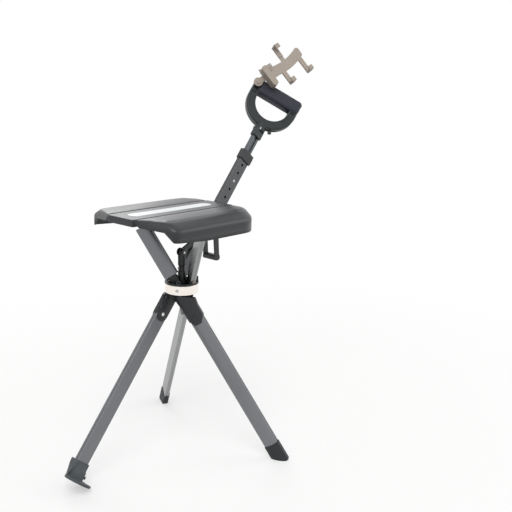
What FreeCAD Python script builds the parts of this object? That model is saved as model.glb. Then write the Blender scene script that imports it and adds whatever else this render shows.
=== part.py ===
import FreeCAD, Part
import math
import os

# Walking stick seat, opened on its tripod. Millimetres, +Z up, front of the seat towards -X.
# Each leg is drawn upright in a leg frame: x towards its foot, -y away from the hub axis, z up,
# with the origin on the hub axis at pin height. The leg is then leaned out and turned to its side.

# Stance
HUB_Z = 334.0
MAIN_LEAN = 39.0
SIDE_LEAN = 32.5
MAIN_TURN = 180.0
RIGHT_TURN = -60.0
BACK_TURN = 60.0

# Leg tube, a rounded outer face and a flat inner face
TUBE_HALF = 14.0
TUBE_IN = 10.8
TUBE_OUT = 24.5
TUBE_WALL = 1.8
GROOVE_W = 3.2
GROOVE_D = 0.9
LOW_START = 27.0
UP_START = 30.0
SIDE_TOP = 140.0
MAIN_TOP = 306.0

# Rubber feet
DISC_R = 26.0
DISC_T = 4.6
DISC_ROUND = 1.4
FOOT_WALL = 2.2
FOOT_CUP = 36.0
FOOT_FLOOR = 8.4
WEDGE_TIP = 6.6
WEDGE_FLOOR = 24.0
WEDGE_CUP = 12.0

# Knuckle between the two tubes of a leg
NECK_HALF = 9.0
NECK_OUT = 17.0
PLUG = 17.0
FIT = 0.05
SLEEVE_HALF = 19.0
SLEEVE_IN = 12.6
SLEEVE_OUT = 26.3
SLEEVE_END = 78.0
RIVET_R = 3.2
RIVET_Z = 64.0

# Hub
PIN_R = 3.0
PIN_ROOT = 5.0
CORE_R = 9.6
CORE_LOW = 17.0
CORE_TOP = 15.0
RING_IN = 29.5
RING_OUT = 32.5
RING_HALF = 9.0
FLANGE_OUT = 33.2
FLANGE_T = 4.0
EYE_TURN = -26.0
SPIGOT_R = 4.0
SPIGOT_L = 8.0
STEM_R = 7.8
STEM_EYE_HALF = 7.2
STEM_TOP = 70.0
STEM_PIN_R = 2.5
STAY_T = 4.2
STAY_Y = 2.4
STAY_W = 10.0
STAY_PIN_R = 2.0

# Seat
SEAT_TOP = 491.0
SEAT_FRONT = -155.0
SEAT_REAR = 104.0
PANEL_HALF = 34.6
PANEL_T = 13.0
PLATE_T = 5.4
WING_IN = 35.4
WING_OUT = 113.0
WING_SWEEP = 30.0
WING_CORNER = 9.0
SKIRT_REAR = 39.0
SKIRT_FRONT = 27.0
SKIRT_RUN = 110.0
SHELL_T = 4.0
FRONT_WALL = 17.0
REAR_WALL = 7.4
END_ROOM = 61.0
HINGE_DROP = 9.0
HINGE_PIN_R = 1.6
HINGE_EYE_R = 3.4
EYE_REACH = 9.0
STRIP_L = 206.0
STRIP_W = 26.0

# Carrier that slides on the main tube
CARRIER_AT = 150.0
CARRIER_H = 28.0
CARRIER_WALL = 3.0
TRUNNION_R = 4.0
LUG_T = 3.4
LUG_R = 8.5
LOOP_ARM_T = 3.0
LOOP_LENGTH = 80.0

# Height setting and handle
HOLE_R = 2.9
HOLE_PITCH = 20.0
HOLE_TOP = 290.0
BUTTON_HOLE = 2
COLLAR_LOW = 300.0
COLLAR_TOP = 321.0
INNER_HALF = 9.4
INNER_PLAY = 0.3
INNER_WALL = 1.6
INNER_LOW = 205.0
CHANNEL_HALF = 4.2
CHANNEL_D = 2.6
STOP_T = 0.8
BUTTON_UP = 1.5
SOCKET_AT = 362.0
SOCKET_H = 33.0
SOCKET_R = 13.0
SOCKET_WALL = 3.0
SOCKET_DEPTH = 26.0
HANDLE_TURN = 139.0
HANDLE_T = 19.0
HANDLE_BEVEL = 2.6
D_Z = 82.0
D_OPEN_R = 38.0
BOSS_R = 6.5
BOSS_X = 50.0
GRIP_Z = 106.0
GRIP_HALF = 45.5
GRIP_DEEP = 14.0
GRIP_UP = 15.0
GRIP_ROUND = 9.0
CORE_ROD_R = 6.5
SCREW_R = 1.5
SCREW_HEAD_R = 3.0
SCREW_Z = 20.0

# Table hook, kept in the right arm
HOOK_T = 5.6
HOOK_W = 7.8
HOOK_EYE_R = 4.0
HOOK_PIN_R = 1.6
HOOK_TIP = 68.0

# Clamp holder on the handle
HOLDER_LEAN = 25.0
HOLDER_PIN_R = 2.5
HOLDER_EYE_R = 9.5
HOLDER_T = 4.4
SPINE_R = 131.0
SPINE_W = 22.0
SPINE_T = 4.0
SPINE_LOW = 16.0
SPINE_TOP = 122.0
CLAW_REACH = 44.0
CLAW_H = 10.0
CLAW_T = 4.0
SLOT_DEEP = 12.0
CLAW_SLIDE_Z = 77.0

GAP = 0.4
LEG_TURNS = (MAIN_TURN, RIGHT_TURN, BACK_TURN)

os.makedirs("parts", exist_ok=True)

V = FreeCAD.Vector
ZERO = V(0, 0, 0)
X = V(1, 0, 0)
Y = V(0, 1, 0)
Z = V(0, 0, 1)


NODES = {}


def save(shape, name):
    """Keep one node until the whole seat is centred over its origin."""
    NODES[name] = shape


def box(x0, x1, y0, y1, z0, z1):
    """Box between two corners."""
    return Part.makeBox(x1 - x0, y1 - y0, z1 - z0, V(x0, y0, z0))


def rod(radius, start, end):
    """Round bar from one point to another."""
    return Part.makeCylinder(radius, (end - start).Length, start, end - start)


def fuse(shapes):
    """One solid from pieces that touch or overlap."""
    solid = shapes[0]
    for other in shapes[1:]:
        solid = solid.fuse(other)
    return solid.removeSplitter()


def group(shapes):
    """Several separate solids in one node."""
    return Part.makeCompound(shapes)


def prism(points, depth):
    """Straight-sided block from a closed outline and a depth vector."""
    wire = Part.makePolygon(points + [points[0]])
    return Part.Face(wire).extrude(depth)


def soften(shape, radius, pick):
    """Round the edges that pick chooses."""
    edges = [edge for edge in shape.Edges if pick(edge)]
    return shape.makeFillet(radius, edges)


def upright(edge):
    """True for an edge that runs along z."""
    box_of = edge.BoundBox
    return box_of.XLength < 1e-6 and box_of.YLength < 1e-6


def along_y(edge):
    """True for an edge that runs along y."""
    box_of = edge.BoundBox
    return box_of.XLength < 1e-6 and box_of.ZLength < 1e-6


def lean(shape, turn, angle):
    """Take a shape from the leg frame to the opened seat."""
    placed = shape.copy()
    placed.rotate(ZERO, Y, -angle)
    placed.rotate(ZERO, Z, turn)
    placed.translate(V(0, 0, HUB_Z))
    return placed


def on_pole(shape):
    """Take a shape from the main leg's frame to the opened seat."""
    return lean(shape, MAIN_TURN, MAIN_LEAN)


def pole_point(point):
    """Take a point from the main leg's frame to the opened seat."""
    turn = FreeCAD.Rotation(Z, MAIN_TURN).multiply(FreeCAD.Rotation(Y, -MAIN_LEAN))
    return turn.multVec(point) + V(0, 0, HUB_Z)


def section(half, inner, outer, z0, z1):
    """Bar with the leg's section: flat towards the hub axis and round outside."""
    side = math.sqrt(outer ** 2 - half ** 2)
    a = V(-half, -inner, z0)
    b = V(half, -inner, z0)
    c = V(half, -side, z0)
    d = V(-half, -side, z0)
    crown = Part.Arc(c, V(0, -outer, z0), d).toShape()
    wire = Part.Wire([Part.makeLine(a, b), Part.makeLine(b, c), crown, Part.makeLine(d, a)])
    return Part.Face(wire).extrude(V(0, 0, z1 - z0))


def cavity(z0, z1, play=0.0):
    """Space inside a leg tube, made smaller by play."""
    wall = TUBE_WALL + play
    return section(TUBE_HALF - wall, TUBE_IN + wall, TUBE_OUT - wall, z0, z1)


def inner_section(z0, z1, play=0.0):
    """Section of the tube that slides inside the pole, made larger by play."""
    wall = TUBE_WALL + INNER_PLAY - play
    return section(INNER_HALF + play, TUBE_IN + wall, TUBE_OUT - wall, z0, z1)


def tube(z0, z1):
    """Leg tube with a long groove in each side face."""
    body = section(TUBE_HALF, TUBE_IN, TUBE_OUT, z0, z1)
    body = body.cut(cavity(z0 - 1.0, z1 + 1.0))
    side = math.sqrt(TUBE_OUT ** 2 - TUBE_HALF ** 2)
    mid = -(TUBE_IN + side) / 2
    for sign in (-1, 1):
        x = sign * TUBE_HALF
        body = body.cut(box(x - GROOVE_D, x + GROOVE_D, mid - GROOVE_W / 2, mid + GROOVE_W / 2,
                            z0 - 1.0, z1 + 1.0))
    return body


# Knuckle: neck through the ring, plug in the upper tube, sleeve round the lower tube
def knuckle():
    """Black casting that joins both tubes of a leg and carries its pin."""
    neck = box(-NECK_HALF, NECK_HALF, -NECK_OUT, -TUBE_IN, -LOW_START, UP_START)
    upper = cavity(UP_START, UP_START + PLUG, FIT)
    lower = cavity(-LOW_START - PLUG, -LOW_START, FIT)
    block = section(SLEEVE_HALF, SLEEVE_IN, SLEEVE_OUT, -SLEEVE_END - 1.0, -RING_HALF)
    slope = math.radians(MAIN_LEAN)
    top = RING_HALF + 2.0
    low_corner = (top + SLEEVE_HALF * math.sin(slope)) / math.cos(slope)
    waist = TUBE_HALF + 2.2
    outline = [V(-SLEEVE_HALF, 0, -top), V(-1.5, 0, -top), V(0.5, 0, -top / math.cos(slope)),
               V(SLEEVE_HALF, 0, -low_corner), V(waist, 0, -low_corner - 16.0),
               V(waist, 0, -SLEEVE_END + 12.0), V(7.0, 0, -SLEEVE_END),
               V(-7.0, 0, -SLEEVE_END), V(-waist, 0, -SLEEVE_END + 12.0),
               V(-waist, 0, -top - 26.0), V(-SLEEVE_HALF, 0, -top - 10.0)]
    outline = [point + V(0, -SLEEVE_OUT - 2.0, 0) for point in outline]
    sleeve = block.common(prism(outline, V(0, SLEEVE_OUT, 0)))
    sleeve = sleeve.cut(section(TUBE_HALF, TUBE_IN, TUBE_OUT, -SLEEVE_END - 2.0, -LOW_START))
    body = fuse([neck, upper, lower, sleeve])
    bore = rod(PIN_R + FIT, V(0, -SLEEVE_OUT - 1.0, 0), V(0, -TUBE_IN + 1.0, 0))
    rivet = rod(RIVET_R, V(0, -SLEEVE_OUT - 1.0, -RIVET_Z), V(0, -TUBE_IN, -RIVET_Z))
    return body.cut(bore).cut(rivet)


def rivet_of_leg():
    """Rivet through the sleeve and the lower tube, with a domed head outside."""
    shank = rod(RIVET_R, V(0, -SLEEVE_OUT, -RIVET_Z), V(0, -TUBE_IN + 0.8, -RIVET_Z))
    head = rod(RIVET_R + 2.0, V(0, -SLEEVE_OUT - 1.4, -RIVET_Z), V(0, -SLEEVE_OUT, -RIVET_Z))
    return soften(fuse([shank, head]), 0.8, lambda e: e.BoundBox.YMax < -SLEEVE_OUT - 1.3)


def lower_tube(end):
    """Tube below the ring, with the rivet's hole."""
    hole = rod(RIVET_R, V(0, -SLEEVE_OUT, -RIVET_Z), V(0, 0, -RIVET_Z))
    return tube(-end, -LOW_START).cut(hole)


# Feet
def main_foot_end():
    """Distance down the main leg to the foot's sole, so that the disc's edge meets the ground."""
    slope = math.radians(MAIN_LEAN)
    drop = HUB_Z - DISC_ROUND - (DISC_R - DISC_ROUND) * math.sin(slope)
    return drop / math.cos(slope) + DISC_ROUND


def side_foot_end():
    """Distance down a side leg to the ground, along the leg frame's z."""
    return HUB_Z / math.cos(math.radians(SIDE_LEAN))


MAIN_FOOT = main_foot_end()
MAIN_TUBE_END = MAIN_FOOT - FOOT_FLOOR
SIDE_TUBE_END = side_foot_end() - WEDGE_FLOOR


def foot_cup(low, high, wall):
    """Rubber wall round the lower end of a leg tube."""
    return section(TUBE_HALF + wall, TUBE_IN - wall, TUBE_OUT + wall, low, high)


def main_foot():
    """Large rubber tip with the disc that the folded stick stands on."""
    cup = foot_cup(-MAIN_FOOT, -MAIN_TUBE_END + FOOT_CUP, FOOT_WALL)
    disc = rod(DISC_R, V(0, 0, -MAIN_FOOT), V(0, 0, -MAIN_FOOT + DISC_T))
    disc = soften(disc, DISC_ROUND, lambda e: abs(e.BoundBox.ZMax + MAIN_FOOT) < 1e-6)
    near = -TUBE_IN + FOOT_WALL
    rib_half = 1.6
    rib = prism([V(-rib_half, near, -MAIN_FOOT + 22.0), V(-rib_half, near, -MAIN_FOOT + DISC_T - 1.0),
                 V(-rib_half, near + 14.0, -MAIN_FOOT + DISC_T - 1.0)], V(rib_half * 2, 0, 0))
    body = fuse([cup, disc, rib])
    return body.cut(section(TUBE_HALF, TUBE_IN, TUBE_OUT, -MAIN_TUBE_END, 0.0))


def side_foot(turn):
    """Wedge-shaped rubber foot, cut flat where it stands on the ground."""
    wall = FOOT_WALL / 2
    cap = foot_cup(-side_foot_end() - WEDGE_TIP, -SIDE_TUBE_END + WEDGE_CUP, wall)
    cap = cap.cut(section(TUBE_HALF, TUBE_IN, TUBE_OUT, -SIDE_TUBE_END, 0.0))
    placed = lean(cap, turn, SIDE_LEAN)
    reach = HUB_Z * 2
    return placed.cut(box(-reach, reach, -reach, reach, -reach, 0.0))


# Hub
def hub_core():
    """Black post on the hub axis with bosses for the three leg pins."""
    core = rod(CORE_R, V(0, 0, -CORE_LOW), V(0, 0, CORE_TOP))
    for turn in LEG_TURNS:
        boss = rod(PIN_R + 2.5, ZERO, V(0, -TUBE_IN + GAP, 0))
        boss.rotate(ZERO, Z, turn)
        core = core.fuse(boss)
    for turn in LEG_TURNS:
        bore = rod(PIN_R, V(0, -PIN_ROOT, 0), V(0, -TUBE_IN, 0))
        bore.rotate(ZERO, Z, turn)
        core = core.cut(bore)
    core = core.cut(rod(SPIGOT_R, V(0, 0, CORE_TOP - SPIGOT_L), V(0, 0, CORE_TOP + 1.0)))
    return core.removeSplitter()


def hub_pins():
    """Three pins from the core through the leg necks into the ring."""
    pins = []
    for turn in LEG_TURNS:
        pin = rod(PIN_R, V(0, -PIN_ROOT, 0), V(0, -RING_OUT - 0.6, 0))
        pin.rotate(ZERO, Z, turn)
        pins.append(pin)
    return pins


def spacers():
    """Sleeves on the pins between the necks and the ring."""
    sleeves = []
    for turn in LEG_TURNS:
        sleeve = rod(PIN_R + 2.4, V(0, -NECK_OUT - GAP, 0), V(0, -RING_IN - 1.0, 0))
        sleeve = sleeve.cut(rod(PIN_R, V(0, -NECK_OUT, 0), V(0, -RING_OUT, 0)))
        sleeve = sleeve.cut(ring_blank())
        sleeve.rotate(ZERO, Z, turn)
        sleeves.append(sleeve)
    return sleeves


def ring_blank():
    """Silver band before the pin holes."""
    outer = rod(RING_OUT, V(0, 0, -RING_HALF), V(0, 0, RING_HALF))
    outer = soften(outer, 0.8, lambda e: e.Curve.TypeId == "Part::GeomCircle")
    return outer.cut(rod(RING_IN, V(0, 0, -RING_HALF - 1.0), V(0, 0, RING_HALF + 1.0)))


def ring():
    """Silver band round the hub."""
    band = ring_blank()
    for turn in LEG_TURNS:
        bore = rod(PIN_R, V(0, -RING_IN + 4.0, 0), V(0, -RING_OUT - 4.0, 0))
        bore.rotate(ZERO, Z, turn)
        band = band.cut(bore)
    return band


def flange():
    """Black rim on top of the band with three small eyes."""
    rim = rod(FLANGE_OUT, V(0, 0, RING_HALF), V(0, 0, RING_HALF + FLANGE_T))
    rim = soften(rim, 1.0, lambda e: e.Curve.TypeId == "Part::GeomCircle")
    rim = rim.cut(rod(RING_IN, V(0, 0, 0), V(0, 0, RING_HALF + 9.0)))
    for turn in (0.0, 120.0, 240.0):
        eye = box(RING_IN + 0.3, FLANGE_OUT, -4.0, 4.0, RING_HALF + 1.0, RING_HALF + 11.0)
        eye = soften(eye, 3.4, lambda e: e.BoundBox.ZMin > RING_HALF + 10.9
                     and e.BoundBox.YLength < 1e-6)
        eye = eye.cut(rod(1.8, V(RING_IN - 2.0, 0, RING_HALF + 7.0),
                          V(FLANGE_OUT + 2.0, 0, RING_HALF + 7.0)))
        eye.rotate(ZERO, Z, EYE_TURN + turn)
        rim = rim.fuse(eye)
    return rim.removeSplitter()


def stem():
    """Curved post from the hub core up to the knuckle pin of the stay."""
    spigot = rod(SPIGOT_R, V(0, 0, CORE_TOP - SPIGOT_L), V(0, 0, CORE_TOP + 1.0))
    bar = rod(STEM_R, V(0, 0, CORE_TOP), V(0, 0, STEM_TOP - 4.0))
    waist = Part.makeTorus(19.0, 13.0, V(0, 0, (CORE_TOP + STEM_TOP) / 2 - 4.0), Z)
    bar = bar.cut(waist)
    eye = rod(STEM_R, V(0, -STEM_EYE_HALF, STEM_TOP), V(0, STEM_EYE_HALF, STEM_TOP))
    body = fuse([spigot, bar, eye])
    slot = STAY_T / 2 + GAP
    body = body.cut(box(-20.0, 20.0, STAY_Y - slot, STAY_Y + slot, STEM_TOP - STEM_R - 3.0, STEM_TOP + 20.0))
    return body.cut(rod(STEM_PIN_R, V(0, -STEM_R, STEM_TOP), V(0, STEM_R, STEM_TOP)))


def at_hub(shape):
    """Lift a hub piece to its height."""
    placed = shape.copy()
    placed.translate(V(0, 0, HUB_Z))
    return placed


# Places on the pole that several pieces share
POLE_Y = -(TUBE_IN + TUBE_OUT) / 2
PIVOT = pole_point(V(0, POLE_Y, CARRIER_AT))
KNUCKLE_PIN = V(0, 0, HUB_Z + STEM_TOP)
STAY_END = PIVOT + V(-21.0, 0, -11.0)
STAY_END.y = 0.0
LUG_CLEAR_Y = PIVOT.y - (TUBE_OUT - TUBE_IN) / 2 - CARRIER_WALL


def stem_pin():
    """Pin through the stem's fork and the stay."""
    side = V(0, STEM_EYE_HALF, 0)
    return rod(STEM_PIN_R - FIT, KNUCKLE_PIN - side, KNUCKLE_PIN + side)


def stay():
    """Flat link from the stem's pin up to the carrier."""
    axis = V(0, STAY_T, 0)
    base = V(0, STAY_Y - STAY_T / 2, 0)
    start = KNUCKLE_PIN + base
    end = STAY_END + base
    run = end - start
    across = V(-run.z, 0, run.x).normalize() * (STAY_W / 2)
    bar = prism([start + across, end + across, end - across, start - across], axis)
    eye_low = Part.makeCylinder(STAY_W / 2, STAY_T, start, Y)
    eye_top = Part.makeCylinder(STAY_W / 2, STAY_T, end, Y)
    body = fuse([bar, eye_low, eye_top])
    body = body.cut(rod(STEM_PIN_R, start - Y, start + axis + Y))
    return body.cut(rod(STAY_PIN_R, end - Y, end + axis + Y))


def stay_pin():
    """Pin at the upper end of the stay."""
    return rod(STAY_PIN_R, STAY_END + Y * (STAY_Y - STAY_T / 2), STAY_END + Y * (STAY_Y + STAY_T / 2))


# Seat panels
def panel_outline(z):
    """Closed outline of the centre panel with rounded corners."""
    return [V(SEAT_FRONT, -PANEL_HALF, z), V(SEAT_REAR, -PANEL_HALF, z),
            V(SEAT_REAR, PANEL_HALF, z), V(SEAT_FRONT, PANEL_HALF, z)]


def centre_panel():
    """Centre panel: thin plate with thicker ends, lugs for the trunnions and hinge eyes."""
    low = SEAT_TOP - PANEL_T
    body = prism(panel_outline(low), V(0, 0, PANEL_T))
    body = soften(body, 4.0, lambda e: upright(e) and e.BoundBox.XMin < 0)
    body = soften(body, 2.0, lambda e: e.BoundBox.ZMin > SEAT_TOP - 1e-6)
    under = SEAT_TOP - PLATE_T
    body = body.cut(box(-72.0, 20.0, -60.0, 60.0, low - 1.0, under))
    body = body.cut(box(SEAT_FRONT + 5.0, -80.0, -27.0, 27.0, low - 1.0, under))
    pole = section(TUBE_HALF + 2.5, TUBE_IN - 2.5, TUBE_OUT + 2.5, CARRIER_AT, CARRIER_AT + 90.0)
    body = body.cut(on_pole(pole))
    strip = strip_shape(0.0)
    body = body.cut(strip)
    for y in lug_places():
        body = body.fuse(lug(y))
    for side in (-1, 1):
        body = body.cut(hinge_clearance(side))
        body = body.fuse(hinge_eyes(side, 1))
    body = body.cut(rod(TRUNNION_R + FIT, PIVOT - Y * 40.0, PIVOT + Y * 40.0))
    return body.removeSplitter()


def lug_places():
    """Low y of each lug beside the carrier."""
    reach = TUBE_OUT - (TUBE_IN + TUBE_OUT) / 2 + CARRIER_WALL + GAP
    return [PIVOT.y + reach, PIVOT.y - reach - LUG_T]


def lug(y):
    """Lug that hangs from the centre panel and turns on a trunnion."""
    top = SEAT_TOP - PLATE_T - 1.0
    at = V(PIVOT.x, y, PIVOT.z)
    eye = Part.makeCylinder(LUG_R, LUG_T, at, Y)
    tangent = LUG_R * 0.88
    web = prism([V(PIVOT.x - tangent, y, PIVOT.z + LUG_R * 0.47), V(PIVOT.x + LUG_R, y, PIVOT.z),
                 V(SEAT_REAR - 1.0, y, top), V(PIVOT.x - 30.0, y, top)], V(0, LUG_T, 0))
    return fuse([eye, web])


def strip_shape(grow):
    """Long light strip with round ends, set into the centre panel."""
    x0 = (SEAT_FRONT + SEAT_REAR - STRIP_L) / 2 - 4.0 + STRIP_W / 2
    x1 = x0 + STRIP_L - STRIP_W
    z = SEAT_TOP - 1.6
    half = STRIP_W / 2
    height = 1.6 + grow
    bar = box(x0, x1, -half, half, z, z + height)
    ends = [Part.makeCylinder(half, height, V(x, 0, z), Z) for x in (x0, x1)]
    return fuse([bar] + ends)


HINGE_Z = SEAT_TOP - HINGE_DROP
EYE_L = 12.0
EYE_PAIRS = (-140.0, -96.0, 34.0, 66.0)


def hinge_line(side):
    """Y of the hinge axis between the centre panel and a wing."""
    return side * (PANEL_HALF + WING_IN) / 2


def hinge_eyes(side, owner):
    """Hinge eyes: the centre panel owns the front one of each pair and the wing the rear one."""
    y = hinge_line(side)
    eyes = []
    for x in EYE_PAIRS:
        start = x if owner == 1 else x + EYE_L + GAP
        eye = Part.makeCylinder(HINGE_EYE_R, EYE_L, V(start, y, HINGE_Z), X)
        way = -side if owner == 1 else side
        low, high = sorted((y, y + way * EYE_REACH))
        foot = HINGE_Z - HINGE_EYE_R if owner == 1 else HINGE_Z + GAP
        head = HINGE_Z + HINGE_PIN_R if owner == 1 else HINGE_Z + HINGE_EYE_R
        web = box(start, start + EYE_L, low, high, foot, head)
        low, high = sorted((y + way * (HINGE_EYE_R + GAP * 2), y + way * EYE_REACH))
        riser = box(start, start + EYE_L, low, high, HINGE_Z, SEAT_TOP - PLATE_T + 1.0)
        bore = rod(HINGE_PIN_R + (0.0 if owner == 1 else FIT), V(start - 1.0, y, HINGE_Z),
                   V(start + EYE_L + 1.0, y, HINGE_Z))
        eyes.append(fuse([eye, web, riser]).cut(bore))
    return group(eyes)


def hinge_clearance(side):
    """Room for the hinge eyes and for the inner edge of the wing as it turns."""
    y = hinge_line(side)
    rooms = []
    for x in EYE_PAIRS:
        rooms.append(Part.makeCylinder(HINGE_EYE_R + GAP, EYE_L * 2 + GAP * 3,
                                       V(x - GAP, y, HINGE_Z), X))
    return group(rooms)


def hinge_pins():
    """Short steel pins, one in each pair of hinge eyes."""
    pins = []
    for side in (-1, 1):
        for x in EYE_PAIRS:
            y = hinge_line(side)
            pins.append(rod(HINGE_PIN_R, V(x, y, HINGE_Z), V(x + EYE_L * 2 + GAP, y, HINGE_Z)))
    return group(pins)


def wing_wire(side, z, inset, front, rear):
    """Outline of a wing at one height, pulled in by inset, front and rear."""
    y_in = side * WING_IN
    y_out = side * (WING_OUT - inset)
    x0 = SEAT_FRONT + front
    x1 = SEAT_REAR - rear
    sweep = WING_SWEEP * (WING_OUT - inset - WING_IN) / (WING_OUT - WING_IN)
    corner = V(x0 + sweep, y_out, z)
    a = V(x0, y_in, z)
    b = corner + (a - corner).normalize() * WING_CORNER
    c = corner + V(WING_CORNER, 0, 0)
    bc = (b + c) * 0.275 + corner * 0.45
    d = V(x1 - 40.0, y_out, z)
    e = V(x1, y_out - side * 42.0, z)
    de = V(x1 - 11.0, y_out - side * 12.5, z)
    f = V(x1, y_in, z)
    edges = [Part.makeLine(a, b), Part.Arc(b, bc, c).toShape(), Part.makeLine(c, d),
             Part.Arc(d, de, e).toShape(), Part.makeLine(e, f), Part.makeLine(f, a)]
    return Part.Wire(edges)


def end_room(side, x0, x1, near, far):
    """Room under one end of a wing, for the hinge and for the folded tubes."""
    inner = side * (WING_IN - 5.0)
    floor = SEAT_TOP - SKIRT_REAR - 8.0
    first = SEAT_TOP - min(near, HINGE_DROP - 0.2)
    outline = [V(x0, inner, first), V(x0, inner + side * 10.0, first),
               V(x0, inner + side * 15.0, SEAT_TOP - near), V(x0, inner + side * END_ROOM, SEAT_TOP - far),
               V(x0, inner + side * (END_ROOM + 10.0), floor), V(x0, inner, floor)]
    return prism(outline, V(x1 - x0, 0, 0))


def wing(side):
    """Wing: a plate with a sloped shoulder and a deep skirt, hollow underneath."""
    floor = SEAT_TOP - SKIRT_REAR
    shoulder = SEAT_TOP - 9.0
    skirt = Part.Face(wing_wire(side, floor, 0.0, 0.0, 0.0)).extrude(V(0, 0, shoulder - floor))
    crown = Part.makeLoft([wing_wire(side, shoulder, 0.0, 0.0, 0.0),
                           wing_wire(side, SEAT_TOP, 15.0, 4.0, 5.0)], True, True)
    inner_low = Part.Face(wing_wire(side, floor - 1.0, SHELL_T, SHELL_T, SHELL_T))
    room_low = inner_low.extrude(V(0, 0, shoulder - SHELL_T - floor + 1.0))
    room_top = Part.makeLoft([wing_wire(side, shoulder - SHELL_T, SHELL_T, SHELL_T, SHELL_T),
                              wing_wire(side, SEAT_TOP - PLATE_T, 15.0 + SHELL_T, 10.0, 10.0)],
                             True, True)
    body = skirt.fuse(crown).cut(room_low).cut(room_top)
    outside = side * (WING_OUT + 10.0)
    under = [V(SEAT_FRONT - 10.0, outside, SEAT_TOP - SKIRT_FRONT),
             V(SEAT_FRONT + SKIRT_RUN, outside, floor),
             V(SEAT_FRONT + SKIRT_RUN, outside, floor - 20.0),
             V(SEAT_FRONT - 10.0, outside, floor - 20.0)]
    body = body.cut(prism(under, V(0, -side * 120.0, 0)))
    middle = (SEAT_FRONT + SEAT_REAR) / 2
    body = body.cut(end_room(side, SEAT_FRONT - 5.0, middle, PANEL_T, FRONT_WALL))
    body = body.cut(end_room(side, middle, SEAT_REAR + 5.0, REAR_WALL, REAR_WALL))
    body = body.cut(hinge_clearance(side)).fuse(hinge_eyes(side, 2))
    return body.removeSplitter()


# Carrier and pull loop
def carrier():
    """Block that slides on the main tube, with two trunnions and a lug for the stay."""
    half = TUBE_HALF + CARRIER_WALL
    wall = CARRIER_WALL
    z0 = CARRIER_AT - CARRIER_H / 2
    z1 = CARRIER_AT + CARRIER_H / 2
    block = box(-half, half, -TUBE_OUT - wall, -TUBE_IN + wall, z0, z1)
    block = soften(block, 3.0, upright)
    low = z0 - CARRIER_H
    hole = section(TUBE_HALF + FIT * 2, TUBE_IN - FIT * 2, TUBE_OUT + FIT * 2, low, z1 + 1.0)
    slot_half = HOLE_R + GAP * 2
    channel = box(-slot_half, slot_half, -TUBE_IN - 1.0, -TUBE_IN + BUTTON_UP + GAP, low, z1 + 1.0)
    hole = hole.fuse(channel)
    body = on_pole(block)
    reach = TUBE_OUT - (TUBE_IN + TUBE_OUT) / 2 + wall
    out = reach + GAP + LUG_T + GAP + LOOP_ARM_T
    for sign in (-1, 1):
        body = body.fuse(rod(TRUNNION_R, PIVOT + Y * (sign * (reach - 1.0)), PIVOT + Y * (sign * out)))
    low = STAY_Y + STAY_T / 2 + GAP
    high = -POLE_Y - (TUBE_OUT - TUBE_IN) / 2
    ear = Part.makeCylinder(STAY_W / 2, high - low, STAY_END + V(0, low, 0), Y)
    plate_low = LUG_CLEAR_Y
    arm = prism([STAY_END + V(-5.0, plate_low, 0), STAY_END + V(-1.0, plate_low, 5.0),
                 V(PIVOT.x - 12.0, plate_low, PIVOT.z + 4.0),
                 V(PIVOT.x - 4.0, plate_low, PIVOT.z - 8.0),
                 STAY_END + V(3.0, plate_low, -4.0)], V(0, high - plate_low, 0))
    body = body.fuse(ear).fuse(arm).cut(on_pole(hole))
    return body.cut(rod(STAY_PIN_R, STAY_END - Y * 8.0, STAY_END + Y * 20.0)).removeSplitter()


def pull_loop():
    """Loop that hangs behind the pole on the trunnions and lifts the carrier."""
    reach = TUBE_OUT - (TUBE_IN + TUBE_OUT) / 2 + CARRIER_WALL
    arm_at = reach + GAP + LUG_T + GAP
    pieces = []
    for y in (PIVOT.y + arm_at, PIVOT.y - arm_at - LOOP_ARM_T):
        at = V(PIVOT.x, y, PIVOT.z)
        eye = Part.makeCylinder(7.5, LOOP_ARM_T, at, Y)
        bar = prism([at + V(-6.0, 0, 0), at + V(7.5, 0, 0), at + V(13.0, 0, -LOOP_LENGTH + 8.0),
                     at + V(1.0, 0, -LOOP_LENGTH + 8.0)], V(0, LOOP_ARM_T, 0))
        pieces += [eye, bar]
    wide = arm_at + LOOP_ARM_T
    lip = box(PIVOT.x, PIVOT.x + 15.0, PIVOT.y - wide, PIVOT.y + wide,
              PIVOT.z - LOOP_LENGTH, PIVOT.z - LOOP_LENGTH + 12.0)
    lip = soften(lip, 5.0, along_y)
    body = fuse(pieces + [lip])
    return body.cut(rod(TRUNNION_R + FIT, PIVOT - Y * 40.0, PIVOT + Y * 40.0))


# Pole top: setting holes, inner tube, button and collar
BUTTON_Z = HOLE_TOP - BUTTON_HOLE * HOLE_PITCH


def main_pole():
    """Upper tube of the main leg with its row of setting holes."""
    body = tube(UP_START, MAIN_TOP)
    for place in range(5):
        z = HOLE_TOP - place * HOLE_PITCH
        body = body.cut(rod(HOLE_R, V(0, -TUBE_IN - TUBE_WALL - 1.0, z), V(0, 0, z)))
    return body


def inner_tube():
    """Inner tube that carries the handle, with a channel that passes under the button."""
    top = SOCKET_AT + SOCKET_DEPTH
    body = inner_section(INNER_LOW, top)
    room = inner_section(INNER_LOW - 1.0, top + 1.0, -INNER_WALL)
    face = -TUBE_IN - TUBE_WALL - INNER_PLAY
    floor = face - CHANNEL_D
    keep = box(-INNER_HALF, INNER_HALF, floor - INNER_WALL, 0.0, INNER_LOW - 2.0, top + 2.0)
    channel = box(-CHANNEL_HALF, CHANNEL_HALF, floor, 0.0, INNER_LOW - 1.0, top + 1.0)
    return body.cut(room.cut(keep)).cut(channel).cut(from_handle(socket_screw()))


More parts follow.
